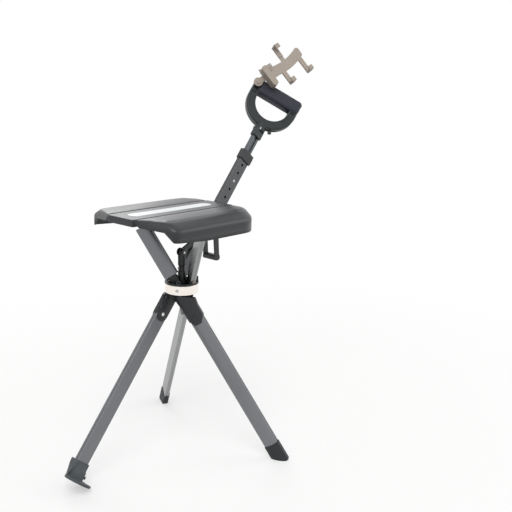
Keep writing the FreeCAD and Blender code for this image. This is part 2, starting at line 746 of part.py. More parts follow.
def snap_button():
    """Domed button in one of the setting holes."""
    face = -TUBE_IN
    body = rod(HOLE_R - FIT, V(0, face - TUBE_WALL, BUTTON_Z), V(0, face + BUTTON_UP, BUTTON_Z))
    dome = soften(body, 1.2, lambda e: e.BoundBox.YMin > face + BUTTON_UP - 0.1)
    stop = rod(HOLE_R + 0.9, V(0, face - TUBE_WALL - STOP_T, BUTTON_Z), V(0, face - TUBE_WALL, BUTTON_Z))
    return fuse([dome, stop])


def collar():
    """Black clamping collar at the mouth of the outer tube."""
    half = TUBE_HALF + 2.6
    body = section(half, TUBE_IN - 2.6, TUBE_OUT + 2.6, COLLAR_LOW, COLLAR_TOP)
    body = body.cut(section(TUBE_HALF, TUBE_IN, TUBE_OUT, COLLAR_LOW - 1.0, MAIN_TOP))
    body = body.cut(inner_section(COLLAR_LOW, COLLAR_TOP + 1.0, INNER_PLAY))
    boss = box(-half - 5.0, -half + 1.0, POLE_Y - 5.0, POLE_Y + 5.0, COLLAR_LOW + 5.0, COLLAR_TOP - 3.0)
    return fuse([body, boss])


# Handle, drawn in its own frame and set on the inner tube
def from_handle(shape):
    """Take a shape from the handle's frame to the main leg's frame."""
    placed = shape.copy()
    placed.rotate(ZERO, Z, HANDLE_TURN)
    placed.translate(V(0, POLE_Y, SOCKET_AT))
    return placed


def on_handle(shape):
    """Take a shape from the handle's frame to the opened seat."""
    return on_pole(from_handle(shape))


def wire_from(runs, y):
    """Closed wire in the handle's plane: each run is a line of two points or an arc of three."""
    edges = []
    for run in runs:
        points = [V(x, y, z) for x, z in run]
        edges.append(Part.makeLine(*points) if len(points) == 2 else Part.Arc(*points).toShape())
    return Part.Wire(edges)


def disc_at(x, z, radius, y0, y1):
    """Disc whose axis is the handle's normal."""
    return Part.makeCylinder(radius, y1 - y0, V(x, y0, z), Y)


HANDLE_HALF = BOSS_X + BOSS_R
DIAGONAL = math.sqrt(0.5)


def d_wire(y, inset):
    """Outline of the D at one depth, pulled in by inset."""
    half = HANDLE_HALF - inset
    neck = SOCKET_R - inset
    neck_z = D_Z - math.sqrt(half ** 2 - neck ** 2)
    side = half * DIAGONAL
    boss = BOSS_R - inset
    corner = boss * DIAGONAL
    top = GRIP_Z + boss
    runs = [((-neck, neck_z), (-side, D_Z - side), (-half, D_Z)),
            ((-half, D_Z), (-half, GRIP_Z)),
            ((-half, GRIP_Z), (-BOSS_X - corner, GRIP_Z + corner), (-BOSS_X, top)),
            ((-BOSS_X, top), (BOSS_X, top)),
            ((BOSS_X, top), (BOSS_X + corner, GRIP_Z + corner), (half, GRIP_Z)),
            ((half, GRIP_Z), (half, D_Z)),
            ((half, D_Z), (side, D_Z - side), (neck, neck_z)),
            ((neck, neck_z), (-neck, neck_z))]
    return wire_from(runs, y)


def handle_plate():
    """The D: an outline with bevelled edges and an opening under the grip."""
    half = HANDLE_T / 2
    flat = half - HANDLE_BEVEL
    body = Part.Face(d_wire(-flat, 0.0)).extrude(V(0, flat * 2, 0))
    for face in (-1, 1):
        edge = Part.makeLoft([d_wire(face * flat, 0.0), d_wire(face * half, HANDLE_BEVEL)], True, True)
        body = body.fuse(edge)
    low = GRIP_Z - GRIP_UP + 1.0
    hole = wire_from([((-D_OPEN_R, D_Z), (0, D_Z - D_OPEN_R), (D_OPEN_R, D_Z)),
                      ((D_OPEN_R, D_Z), (D_OPEN_R, low)), ((D_OPEN_R, low), (-D_OPEN_R, low)),
                      ((-D_OPEN_R, low), (-D_OPEN_R, D_Z))], -half - 1.0)
    return body.cut(Part.Face(hole).extrude(V(0, HANDLE_T + 2.0, 0)))


def ring_sector(inner, outer, y0, y1, low):
    """Part of a ring round the D's centre, below the D's widest line and above low."""
    ring_shape = disc_at(0, D_Z, outer, y0, y1).cut(disc_at(0, D_Z, inner, y0 - 1.0, y1 + 1.0))
    return ring_shape.common(box(0, outer + 1.0, y0, y1, low, D_Z))


def arm_pocket(side, face):
    """Long shallow pocket in one face of an arm."""
    y0, y1 = sorted((face * (HANDLE_T / 2 - 2.4), face * (HANDLE_T / 2 + 1.0)))
    inner = D_OPEN_R + 4.0
    outer = HANDLE_HALF - 5.0
    pocket = ring_sector(inner, outer, y0, y1, D_Z - 26.0)
    pocket = pocket.fuse(box(inner, outer, y0, y1, D_Z, D_Z + 6.0))
    if side < 0:
        pocket.rotate(ZERO, Z, 180.0)
    return pocket


def handle_core():
    """Bar inside the grip, from arm to arm."""
    return rod(CORE_ROD_R, V(-GRIP_HALF - 1.0, 0, GRIP_Z), V(GRIP_HALF + 1.0, 0, GRIP_Z))


def grip_blank():
    """Grip before the bar's bore: a bar with well rounded edges."""
    body = box(-GRIP_HALF, GRIP_HALF, -GRIP_DEEP, GRIP_DEEP, GRIP_Z - GRIP_UP, GRIP_Z + GRIP_UP)
    return soften(body, GRIP_ROUND, lambda e: e.BoundBox.XLength > GRIP_HALF)


def hook_groove():
    """Room for the hook in the right arm: round its eye, down the arm and out at the bottom."""
    half = HOOK_T / 2 + GAP
    inner = HANDLE_HALF - HOOK_W - GAP * 2
    groove = ring_sector(inner, HANDLE_HALF + 4.0, -half, half, 0.0)
    eye_side = BOSS_X - HOOK_EYE_R - GAP
    groove = groove.fuse(box(eye_side, HANDLE_HALF + 4.0, -half, half, D_Z - 0.1, GRIP_Z))
    lift = HOOK_EYE_R + GAP + (HANDLE_HALF - GAP - BOSS_X - HOOK_EYE_R) * BOSS_R / (GRIP_Z - D_Z)
    groove = groove.fuse(box(BOSS_X, HANDLE_HALF + 4.0, -half, half, GRIP_Z - 0.1, GRIP_Z + lift))
    return groove.fuse(disc_at(BOSS_X, GRIP_Z, HOOK_EYE_R + GAP, -half, half))


def handle_body():
    """Open D handle with a socket below and shoulders that hold the grip's bar."""
    socket = inner_section(SOCKET_AT, SOCKET_AT + SOCKET_H, SOCKET_WALL)
    socket.translate(V(0, -POLE_Y, -SOCKET_AT))
    socket = soften(socket, 2.0, upright)
    socket.rotate(ZERO, Z, -HANDLE_TURN)
    neck = rod(SOCKET_R, V(0, 0, SOCKET_H / 2), V(0, 0, SOCKET_H + 8.0))
    neck = neck.common(box(-SOCKET_R, SOCKET_R, -HANDLE_T / 2, HANDLE_T / 2, 0, SOCKET_H + 9.0))
    post = disc_at(-BOSS_X, GRIP_Z, BOSS_R, -GRIP_DEEP - 0.2, 0)
    body = fuse([handle_plate(), socket, neck, post]).cut(grip_blank())
    for side in (-1, 1):
        for face in (-1, 1):
            body = body.cut(arm_pocket(side, face))
    body = body.fuse(handle_core()).cut(inner_room()).cut(hook_groove())
    for screw in (grip_screw(-1), grip_screw(1), socket_screw(), holder_pin(), hook_pin()):
        body = body.cut(screw)
    return body.removeSplitter()


def inner_room():
    """Room for the inner tube in the socket, in the handle's frame."""
    room = inner_section(SOCKET_AT - 1.0, SOCKET_AT + SOCKET_DEPTH)
    room.translate(V(0, -POLE_Y, -SOCKET_AT))
    room.rotate(ZERO, Z, -HANDLE_TURN)
    return room


def grip():
    """Soft cover round the handle's bar."""
    body = grip_blank().cut(handle_core())
    return body.cut(grip_screw(-1)).cut(grip_screw(1))


def screw(start, reach):
    """Screw along the handle's normal with a sunk round head."""
    return fuse([rod(SCREW_HEAD_R, start, start + V(0, 2.0, 0)), rod(SCREW_R, start, start + V(0, reach, 0))])


def grip_screw(side):
    """Screw near one end of the grip, sunk in its face."""
    return screw(V(side * (GRIP_HALF - 7.0), -GRIP_DEEP + 0.5, GRIP_Z), GRIP_DEEP - 3.0)


def socket_screw():
    """Screw that holds the inner tube in the socket."""
    return screw(V(0, -HANDLE_T / 2 - 0.5, SCREW_Z), HANDLE_T / 2)


# Table hook
def hook_pin():
    """Pin of the hook, with a flat head on the handle's face."""
    half = HANDLE_T / 2
    return fuse([disc_at(BOSS_X, GRIP_Z, HOOK_PIN_R, -half, half),
                 disc_at(BOSS_X, GRIP_Z, HOOK_PIN_R + 1.4, -half - 0.6, -half + 0.6)])


def table_hook():
    """Curved hook that swings out of the right arm, with a tip under the D."""
    half = HOOK_T / 2
    outer = HANDLE_HALF - GAP
    inner = outer - HOOK_W
    low = D_Z - inner * math.sin(math.radians(HOOK_TIP))
    eye = disc_at(BOSS_X, GRIP_Z, HOOK_EYE_R, -half, half)
    shank = prism([V(BOSS_X - HOOK_EYE_R, -half, GRIP_Z), V(BOSS_X + HOOK_EYE_R, -half, GRIP_Z),
                   V(outer, -half, D_Z), V(inner, -half, D_Z)], V(0, HOOK_T, 0))
    blade = ring_sector(inner, outer, -half, half, low)
    tip = box(inner + 1.0, outer + 8.0, -half, half, -3.5, 3.5)
    tip.rotate(ZERO, Y, HOOK_TIP)
    tip.translate(V(0, 0, D_Z))
    body = fuse([eye, shank, blade, tip])
    return body.cut(disc_at(BOSS_X, GRIP_Z, HOOK_PIN_R + FIT, -half - 1.0, half + 1.0))


# Clamp holder, drawn in its own frame: x across the clamp, z along it, y as the handle's
HOLDER_AT = V(-BOSS_X, 0, GRIP_Z)
HOLDER_BACK = -GRIP_DEEP - 0.6
SPINE_BACK = HOLDER_BACK - HOLDER_T
SPINE_FRONT = SPINE_BACK - SPINE_T
CLAW_FRONT = SPINE_FRONT - SLOT_DEEP - CLAW_T


def on_holder(shape):
    """Take a shape from the holder's frame to the opened seat."""
    placed = shape.copy()
    placed.rotate(ZERO, Y, HOLDER_LEAN)
    placed.translate(HOLDER_AT)
    return on_handle(placed)


def holder_pin():
    """Pin that the clamp holder turns on, with a head in front."""
    at = HOLDER_AT
    return fuse([disc_at(at.x, at.z, HOLDER_PIN_R, SPINE_BACK - 1.0, HANDLE_T / 2 - 3.0),
                 disc_at(at.x, at.z, HOLDER_PIN_R + 2.0, SPINE_BACK - 1.8, SPINE_BACK - 0.1)])


def holder_arm():
    """Flat stalk of the holder: an eye below and a pad behind the clamp."""
    eye = disc_at(0, 0, HOLDER_EYE_R, SPINE_BACK, HOLDER_BACK)
    post = box(-6.0, 6.0, SPINE_BACK, HOLDER_BACK, 0.0, 30.0)
    pad = disc_at(0, 30.0, 9.0, SPINE_BACK, HOLDER_BACK)
    body = fuse([eye, post, pad]).cut(holder_screw())
    return body.cut(disc_at(0, 0, HOLDER_PIN_R + FIT, SPINE_BACK - 1.0, HOLDER_BACK + 1.0))


def holder_screw():
    """Screw that joins the stalk and the clamp."""
    return screw(V(0, SPINE_FRONT + 0.5, 30.0), SPINE_T + HOLDER_T - 1.5)


def claw(z, sign):
    """One claw: an arm across, a side wall and a lip over the front."""
    x_out = sign * CLAW_REACH
    x_in = sign * (CLAW_REACH - CLAW_T)
    x_lip = sign * (CLAW_REACH - CLAW_T * 2.5)
    x_root = 0.0
    low = z - CLAW_H / 2
    top = z + CLAW_H / 2
    arm = box(min(x_root, x_out), max(x_root, x_out), SPINE_FRONT, SPINE_BACK, low, top)
    side = box(min(x_in, x_out), max(x_in, x_out), CLAW_FRONT, SPINE_BACK, low, top)
    lip = box(min(x_lip, x_out), max(x_lip, x_out), CLAW_FRONT, CLAW_FRONT + CLAW_T * 0.8, low, top)
    body = fuse([arm, side, lip])
    return soften(body, 1.6, lambda e: e.BoundBox.ZLength > CLAW_H - 1.0 and e.BoundBox.XLength < 1e-6
                  and abs(e.BoundBox.XMin - x_out) < 1e-6)


def holder_clamp():
    """Curved back of the clamp with its shelf, two prongs and the two fixed claws."""
    middle = (SPINE_LOW + SPINE_TOP) / 2
    centre = 3.0 - SPINE_R
    half = SPINE_W / 2
    back = disc_at(centre, middle, SPINE_R + half, SPINE_FRONT, SPINE_BACK)
    back = back.cut(disc_at(centre, middle, SPINE_R - half, SPINE_FRONT - 1.0, SPINE_BACK + 1.0))
    back = back.common(box(-30.0, 30.0, SPINE_FRONT, SPINE_BACK, SPINE_LOW, SPINE_TOP))
    back = soften(back, 6.0, lambda e: along_y(e) and e.BoundBox.ZMin > middle)
    shelf = box(-18.0, 30.0, CLAW_FRONT, SPINE_BACK, SPINE_LOW - 1.0, SPINE_LOW + 12.0)
    shelf = soften(shelf, 5.0, along_y)
    pieces = [back, shelf]
    for x0, x1 in ((-16.0, -8.0), (2.0, 16.0)):
        pieces.append(box(x0, x1, CLAW_FRONT, CLAW_FRONT + CLAW_T, SPINE_LOW + 8.0, SPINE_LOW + 22.0))
    pieces += [claw(61.0, 1), claw(111.0, 1)]
    body = fuse(pieces)
    room = box(-30.0, 12.5, SPINE_BACK - 2.4, SPINE_BACK + 1.0, CLAW_SLIDE_Z - CLAW_H / 2 - GAP,
               CLAW_SLIDE_Z + CLAW_H / 2 + GAP)
    return body.cut(room).cut(holder_screw())


def holder_claw():
    """Sliding claw on the left of the clamp, with a flat bar in the back's slot."""
    body = claw(CLAW_SLIDE_Z, -1)
    low = CLAW_SLIDE_Z - CLAW_H / 2
    bar = box(-CLAW_REACH + 1.0, 4.0, SPINE_BACK - 2.0, SPINE_BACK, low, low + CLAW_H)
    trim = box(-18.0, 12.0, SPINE_FRONT - 1.0, SPINE_BACK + 1.0, low - 1.0, low + CLAW_H + 1.0)
    return fuse([body.cut(trim), bar])


# Write the nodes
LEGS = (("main", MAIN_TURN, MAIN_LEAN), ("right", RIGHT_TURN, SIDE_LEAN), ("back", BACK_TURN, SIDE_LEAN))
for name, turn, angle in LEGS:
    end = MAIN_TUBE_END if name == "main" else SIDE_TUBE_END
    save(lean(lower_tube(end), turn, angle), name + "_leg_tube")
    save(lean(knuckle(), turn, angle), name + "_leg_knuckle")
    save(lean(rivet_of_leg(), turn, angle), name + "_leg_rivet")
save(lean(tube(UP_START, SIDE_TOP), RIGHT_TURN, SIDE_LEAN), "right_seat_bar")
save(lean(tube(UP_START, SIDE_TOP), BACK_TURN, SIDE_LEAN), "back_seat_bar")
save(on_pole(main_pole()), "main_pole_tube")
save(on_pole(main_foot()), "main_foot_tip")
save(side_foot(RIGHT_TURN), "right_foot_tip")
save(side_foot(BACK_TURN), "back_foot_tip")

save(at_hub(hub_core()), "hub_core")
save(at_hub(group(hub_pins())), "hub_leg_pins")
save(at_hub(group(spacers())), "hub_pin_spacers")
save(at_hub(ring()), "hub_ring")
save(at_hub(flange()), "hub_flange")
save(at_hub(stem()), "fold_stem")
save(stem_pin(), "fold_stem_pin")
save(stay(), "fold_stay")
save(stay_pin(), "fold_stay_pin")

save(centre_panel(), "seat_centre_panel")
save(strip_shape(0.4), "seat_light_strip")
save(wing(1), "seat_wing_far")
save(wing(-1), "seat_wing_near")
save(hinge_pins(), "seat_hinge_pins")
save(carrier(), "seat_carrier")
save(pull_loop(), "pull_loop")

save(on_pole(inner_tube()), "handle_inner_tube")
save(on_pole(snap_button()), "snap_button")
save(on_pole(collar()), "pole_collar")
save(on_handle(handle_body()), "handle_body")
save(on_handle(grip()), "handle_grip")
save(on_handle(group([grip_screw(-1), grip_screw(1)])), "grip_screws")
save(on_handle(socket_screw()), "socket_screw")
save(on_holder(holder_arm()), "phone_holder_arm")
save(on_holder(holder_clamp()), "phone_holder_clamp")
save(on_holder(holder_claw()), "phone_holder_claw")
save(on_holder(holder_screw()), "phone_holder_screw")
save(on_handle(holder_pin()), "phone_holder_pin")
save(on_handle(table_hook()), "table_hook")
save(on_handle(hook_pin()), "table_hook_pin")


def middle_of(shapes):
    """Middle of the box round all the nodes, on the ground."""
    boxes = [shape.optimalBoundingBox(False, False) for shape in shapes]
    x = (min(b.XMin for b in boxes) + max(b.XMax for b in boxes)) / 2
    y = (min(b.YMin for b in boxes) + max(b.YMax for b in boxes)) / 2
    return V(x, y, 0)


# The origin is on the ground, under the middle of the opened seat
CENTRE = middle_of(NODES.values())
for name, shape in NODES.items():
    placed = shape.copy()
    placed.translate(CENTRE * -1.0)
    placed.exportStep("parts/" + name + ".step")
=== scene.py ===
"""Looks of a folding walking stick seat: finishes, dressed sub-assemblies, stage, lights and camera.

Pieces are drawn in millimetres in the frame of the leg, the handle or the seat that carries them, and
Bench puts them in the shared frame in metres.
"""

import logging
import math
from dataclasses import dataclass
from enum import Enum
from typing import ClassVar

import bmesh
import bpy
from mathutils import Matrix, Vector

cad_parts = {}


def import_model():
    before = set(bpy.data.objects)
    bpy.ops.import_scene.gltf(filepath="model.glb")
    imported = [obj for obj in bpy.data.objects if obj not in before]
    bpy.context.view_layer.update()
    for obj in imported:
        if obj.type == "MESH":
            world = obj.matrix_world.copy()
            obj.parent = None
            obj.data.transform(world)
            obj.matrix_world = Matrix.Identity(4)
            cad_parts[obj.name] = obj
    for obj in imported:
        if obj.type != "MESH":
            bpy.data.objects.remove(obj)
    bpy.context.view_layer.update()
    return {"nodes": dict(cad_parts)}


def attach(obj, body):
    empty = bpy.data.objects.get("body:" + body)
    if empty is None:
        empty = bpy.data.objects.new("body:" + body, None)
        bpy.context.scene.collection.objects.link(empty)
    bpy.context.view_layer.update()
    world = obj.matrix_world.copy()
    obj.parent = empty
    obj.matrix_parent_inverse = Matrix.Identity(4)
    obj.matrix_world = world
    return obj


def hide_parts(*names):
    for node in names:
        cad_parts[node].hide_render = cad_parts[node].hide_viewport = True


Point = tuple[float, float, float]

MM = 0.001
LOG = logging.getLogger("stick_seat")

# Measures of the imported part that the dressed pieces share, in millimetres and degrees
CENTRE = Vector((42.237, -7.593, 0.0))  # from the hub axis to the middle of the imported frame
HUB_Z = 334.0
MAIN_LEAN = 39.0
SIDE_LEAN = 32.5
TUBE_IN = 10.8
TUBE_OUT = 24.5
TUBE_HALF = 14.0
SOCKET_AT = 362.0
HANDLE_TURN = 139.0
SEAT_TOP = 491.0

SHARP_ANGLE = 40.0  # degrees past which an edge shades sharp
MERGE = 0.01  # millimetres within which points are one


class Leg(Enum):
    """The three legs, each with its turn about the hub and its lean."""

    MAIN = ("main", 180.0, MAIN_LEAN)
    RIGHT = ("right", -60.0, SIDE_LEAN)
    BACK = ("back", 60.0, SIDE_LEAN)

    def place(self) -> Matrix:
        """Place of the leg's own frame.

        Returns:
            Matrix from the leg's frame, in metres, to the opened seat.
        """
        _, turn, lean = self.value
        lift = Matrix.Translation((Vector((0.0, 0.0, HUB_Z)) - CENTRE) * MM)
        turned = Matrix.Rotation(math.radians(turn), 4, "Z")
        return lift @ turned @ Matrix.Rotation(-math.radians(lean), 4, "Y")

    def axis(self) -> Vector:
        """Direction up along the leg."""
        return (self.place().to_3x3() @ Vector((0.0, 0.0, 1.0))).normalized()


def seat_place() -> Matrix:
    """Matrix from the seat's drawing frame on the hub axis, in metres, to the opened seat."""
    return Matrix.Translation(-CENTRE * MM)


def handle_place() -> Matrix:
    """Matrix from the handle's own frame, in metres, to the opened seat."""
    socket = Vector((0.0, -(TUBE_IN + TUBE_OUT) / 2.0, SOCKET_AT)) * MM
    return Leg.MAIN.place() @ Matrix.Translation(socket) @ Matrix.Rotation(math.radians(HANDLE_TURN), 4, "Z")


def linear(colour: str) -> tuple[float, float, float, float]:
    """Turn an sRGB hex value to a linear colour.

    Args:
        colour: Six hex digits after a hash sign.

    Returns:
        Linear red, green, blue and an alpha of one.
    """
    parts = [int(colour[i:i + 2], 16) / 255.0 for i in (1, 3, 5)]
    bright = [p / 12.92 if p <= 0.04045 else ((p + 0.055) / 1.055) ** 2.4 for p in parts]
    return (bright[0], bright[1], bright[2], 1.0)


def add_node(tree: bpy.types.NodeTree, kind: str, settings: dict[str, object] | None = None,
             inputs: dict[str | int, object] | None = None) -> bpy.types.Node:
    """Add a node with its settings and links.

    Args:
        tree: Node tree that takes the node.
        kind: Type name of the node.
        settings: Attributes to set on the node.
        inputs: Values or output sockets by the name or index of the input.

    Returns:
        The new node.
    """
    node = tree.nodes.new(kind)
    for key, value in (settings or {}).items():
        setattr(node, key, value)
    for key, value in (inputs or {}).items():
        if isinstance(value, bpy.types.NodeSocket):
            tree.links.new(value, node.inputs[key])
        else:
            node.inputs[key].default_value = value
    return node


def new_material(name: str) -> tuple[bpy.types.Material, bpy.types.NodeTree]:
    """Make an empty node material.

    Args:
        name: The material's name.

    Returns:
        The material and its cleared node tree.
    """
    material = bpy.data.materials.new(name)
    material.use_nodes = True
    material.node_tree.nodes.clear()
    return material, material.node_tree


def grain_place(tree: bpy.types.NodeTree, along: Vector | None, stretch: float) -> bpy.types.NodeSocket:
    """Coordinates for a grain, drawn out along a direction.

    Args:
        tree: Node tree of the material.
        along: Direction of the drawn grain, or None for an even one.
        stretch: How many times longer than wide the grain is.

    Returns:
        Vector socket with object coordinates in metres.
    """
    place = add_node(tree, "ShaderNodeTexCoord").outputs["Object"]
    if along is None:
        return place
    turn = along.rotation_difference(Vector((0.0, 0.0, 1.0))).to_euler()
    turned = add_node(tree, "ShaderNodeMapping", inputs={"Vector": place, "Rotation": turn})
    drawn = add_node(tree, "ShaderNodeMapping",
                     inputs={"Vector": turned.outputs[0], "Scale": (1.0, 1.0, 1.0 / stretch)})
    return drawn.outputs[0]


def edge_mask(tree: bpy.types.NodeTree,
              radius: float) -> tuple[bpy.types.NodeSocket, bpy.types.NodeSocket]:
    """Rounded normal of the edges and a mask that is one on them.

    Args:
        tree: Node tree of the material.
        radius: Radius of the moulded edge in millimetres.

    Returns:
        The rounded normal and the mask.
    """
    rounded = add_node(tree, "ShaderNodeBevel", {"samples": 6}, {"Radius": radius * MM}).outputs[0]
    flat = add_node(tree, "ShaderNodeNewGeometry").outputs["Normal"]
    same = add_node(tree, "ShaderNodeVectorMath", {"operation": "DOT_PRODUCT"}, {0: rounded, 1: flat})
    mask = add_node(tree, "ShaderNodeMapRange", {"clamp": True},
                    {"Value": same.outputs["Value"], "From Min": 0.98, "From Max": 0.8})
    return rounded, mask.outputs["Result"]


@dataclass(frozen=True)
class MouldedPlastic:
    """Injection moulded plastic with a fine spark-eroded grain and a painted highlight on its edges.

    Sizes are in millimetres. The real grain is about 0.2 mm and is drawn coarser, so that it shows.
    """

    name: str
    colour: str
    # Colour of the painted highlight on the edges
    painted_edge_highlight: str
    roughness: float = 0.46
    grain: float = 1.1
    depth: float = 0.05
    edge: float = 0.9
    mottle: float = 0.12
    ior: float = 1.5
    cloud: float = 38.0
    speck: float = 0.14
    spread: float = 0.07

    def build(self) -> bpy.types.Material:
        """Build the material.

        Returns:
            The new material.
        """
        material, tree = new_material(self.name)
        place = grain_place(tree, None, 1.0)
        rounded, mask = edge_mask(tree, self.edge)
        fine = add_node(tree, "ShaderNodeTexNoise",
                        inputs={"Vector": place, "Scale": 1.0 / (self.grain * MM), "Detail": 3.0,
                                "Roughness": 0.6})
        cloud = add_node(tree, "ShaderNodeTexNoise",
                         inputs={"Vector": place, "Scale": 1.0 / (self.cloud * MM), "Detail": 2.0})
        dark = tuple(c * (1.0 - self.mottle) for c in linear(self.colour)[:3]) + (1.0,)
        base = add_node(tree, "ShaderNodeMix", {"data_type": "RGBA"},
                        {0: cloud.outputs[0], 6: dark, 7: linear(self.colour)})
        speck = add_node(tree, "ShaderNodeMapRange",
                         inputs={"Value": fine.outputs[0], "To Min": 1.0 - self.speck,
                                 "To Max": 1.0 + self.speck})
        speckled = add_node(tree, "ShaderNodeVectorMath", {"operation": "SCALE"},
                            {0: base.outputs[2], "Scale": speck.outputs["Result"]})
        # Painted highlight: the edge mask, broken into patches by the cloud, mixes the colour towards the
        # lighter edge colour
        highlight_patches = add_node(tree, "ShaderNodeMath", {"operation": "MULTIPLY"},
                       {0: mask, 1: cloud.outputs[0]})
        painted_edge_highlight = add_node(tree, "ShaderNodeMix", {"data_type": "RGBA"},
                        {0: highlight_patches.outputs[0], 6: speckled.outputs[0], 7: linear(self.painted_edge_highlight)})
        rough = add_node(tree, "ShaderNodeMapRange",
                         inputs={"Value": fine.outputs[0], "To Min": self.roughness - self.spread,
                                 "To Max": self.roughness + self.spread})
        bump = add_node(tree, "ShaderNodeBump",
                        inputs={"Height": fine.outputs[0], "Distance": self.depth * MM, "Strength": 0.7,
                                "Normal": rounded})
        shader = add_node(tree, "ShaderNodeBsdfPrincipled",
                          inputs={"Base Color": painted_edge_highlight.outputs[2], "Roughness": rough.outputs["Result"],
                                  "IOR": self.ior, "Normal": bump.outputs[0]})
        add_node(tree, "ShaderNodeOutputMaterial", inputs={"Surface": shader.outputs[0]})
        return material


@dataclass(frozen=True)
class DrawnAluminium:
    """Drawn aluminium tube, anodised grey: faint lines along the tube, a soft metallic gloss and painted edge
    highlights.

    Sizes are in millimetres. Real drawing lines are about 0.1 mm apart and are drawn coarser.
    """

    name: str
    colour: str
    along: Point
    roughness: float = 0.36
    line: float = 0.9
    stretch: float = 60.0
    metallic: float = 0.85
    edge: float = 0.7
    fleck: float = 1.4
    cloud: float = 60.0
    depth: float = 0.03
    shade: float = 0.08
    # Brightness of the painted edge highlight against the colour
    shine: float = 1.4

    def build(self) -> bpy.types.Material:
        """Build the material.

        Returns:
            The new material.
        """
        material, tree = new_material(self.name)
        lines_at = grain_place(tree, Vector(self.along), self.stretch)
        even = grain_place(tree, None, 1.0)
        rounded, mask = edge_mask(tree, self.edge)
        lines = add_node(tree, "ShaderNodeTexNoise",
                         inputs={"Vector": lines_at, "Scale": 1.0 / (self.line * MM), "Detail": 2.0})
        fleck = add_node(tree, "ShaderNodeTexNoise",
                         inputs={"Vector": even, "Scale": 1.0 / (self.fleck * MM), "Detail": 1.0})
        cloud = add_node(tree, "ShaderNodeTexNoise",
                         inputs={"Vector": even, "Scale": 1.0 / (self.cloud * MM)})
        blend = add_node(tree, "ShaderNodeMath", {"operation": "ADD"},
                         {0: lines.outputs[0], 1: fleck.outputs[0]})
        dark, light = 1.0 - self.shade, 1.0 + self.shade
        tone = add_node(tree, "ShaderNodeMapRange",
                        inputs={"Value": blend.outputs[0], "From Max": 2.0, "To Min": dark, "To Max": light})
        wave = add_node(tree, "ShaderNodeMapRange",
                        inputs={"Value": cloud.outputs[0], "To Min": dark, "To Max": light})
        both = add_node(tree, "ShaderNodeMath", {"operation": "MULTIPLY"},
                        {0: tone.outputs["Result"], 1: wave.outputs["Result"]})
        base = add_node(tree, "ShaderNodeVectorMath", {"operation": "SCALE"},
                        {0: linear(self.colour)[:3], "Scale": both.outputs[0]})
        # Painted highlight: the edge mask mixes the colour towards a brighter copy of it
        bright = tuple(min(1.0, c * self.shine) for c in linear(self.colour)[:3]) + (1.0,)
        painted_edge_highlight = add_node(tree, "ShaderNodeMix", {"data_type": "RGBA"},
                        {0: mask, 6: base.outputs[0], 7: bright})
        rough = add_node(tree, "ShaderNodeMapRange",
                         inputs={"Value": lines.outputs[0], "To Min": self.roughness - self.shade,
                                 "To Max": self.roughness + self.shade})
        bump = add_node(tree, "ShaderNodeBump",
                        inputs={"Height": blend.outputs[0], "Distance": self.depth * MM, "Strength": 0.6,
                                "Normal": rounded})
        shader = add_node(tree, "ShaderNodeBsdfPrincipled",
                          inputs={"Base Color": painted_edge_highlight.outputs[2], "Metallic": self.metallic,
                                  "Roughness": rough.outputs["Result"], "Normal": bump.outputs[0]})
        add_node(tree, "ShaderNodeOutputMaterial", inputs={"Surface": shader.outputs[0]})
        return material


@dataclass(frozen=True)
class BareMetal:
    """Turned, polished or plated metal: fine rings in the gloss and hardly any grain in the colour.

    Sizes are in millimetres. Real turning marks are about 0.1 mm apart and are drawn coarser.
    """

    name: str
    colour: str
    roughness: float
    scratch: float = 0.5
    metallic: float = 1.0
    edge: float = 0.4
    depth: float = 0.01
    squash: float = 0.02
    spread: float = 0.3

    def build(self) -> bpy.types.Material:
        """Build the material.

        Returns:
            The new material.
        """
        material, tree = new_material(self.name)
        lines_at = grain_place(tree, Vector((0.0, 0.0, 1.0)), self.squash)
        rounded, _ = edge_mask(tree, self.edge)
        lines = add_node(tree, "ShaderNodeTexNoise",
                         inputs={"Vector": lines_at, "Scale": self.squash / (self.scratch * MM),
                                 "Detail": 3.0})
        tone = add_node(tree, "ShaderNodeMapRange",
                        inputs={"Value": lines.outputs[0], "To Min": 0.93, "To Max": 1.05})
        base = add_node(tree, "ShaderNodeVectorMath", {"operation": "SCALE"},
                        {0: linear(self.colour)[:3], "Scale": tone.outputs["Result"]})
        rough = add_node(tree, "ShaderNodeMapRange",
                         inputs={"Value": lines.outputs[0], "To Min": self.roughness * (1.0 - self.spread),
                                 "To Max": self.roughness * (1.0 + self.spread)})
        bump = add_node(tree, "ShaderNodeBump",
                        inputs={"Height": lines.outputs[0], "Distance": self.depth * MM, "Strength": 0.4,
                                "Normal": rounded})
        shader = add_node(tree, "ShaderNodeBsdfPrincipled",
                          inputs={"Base Color": base.outputs[0], "Metallic": self.metallic,
                                  "Roughness": rough.outputs["Result"], "Normal": bump.outputs[0]})
        add_node(tree, "ShaderNodeOutputMaterial", inputs={"Surface": shader.outputs[0]})
        return material


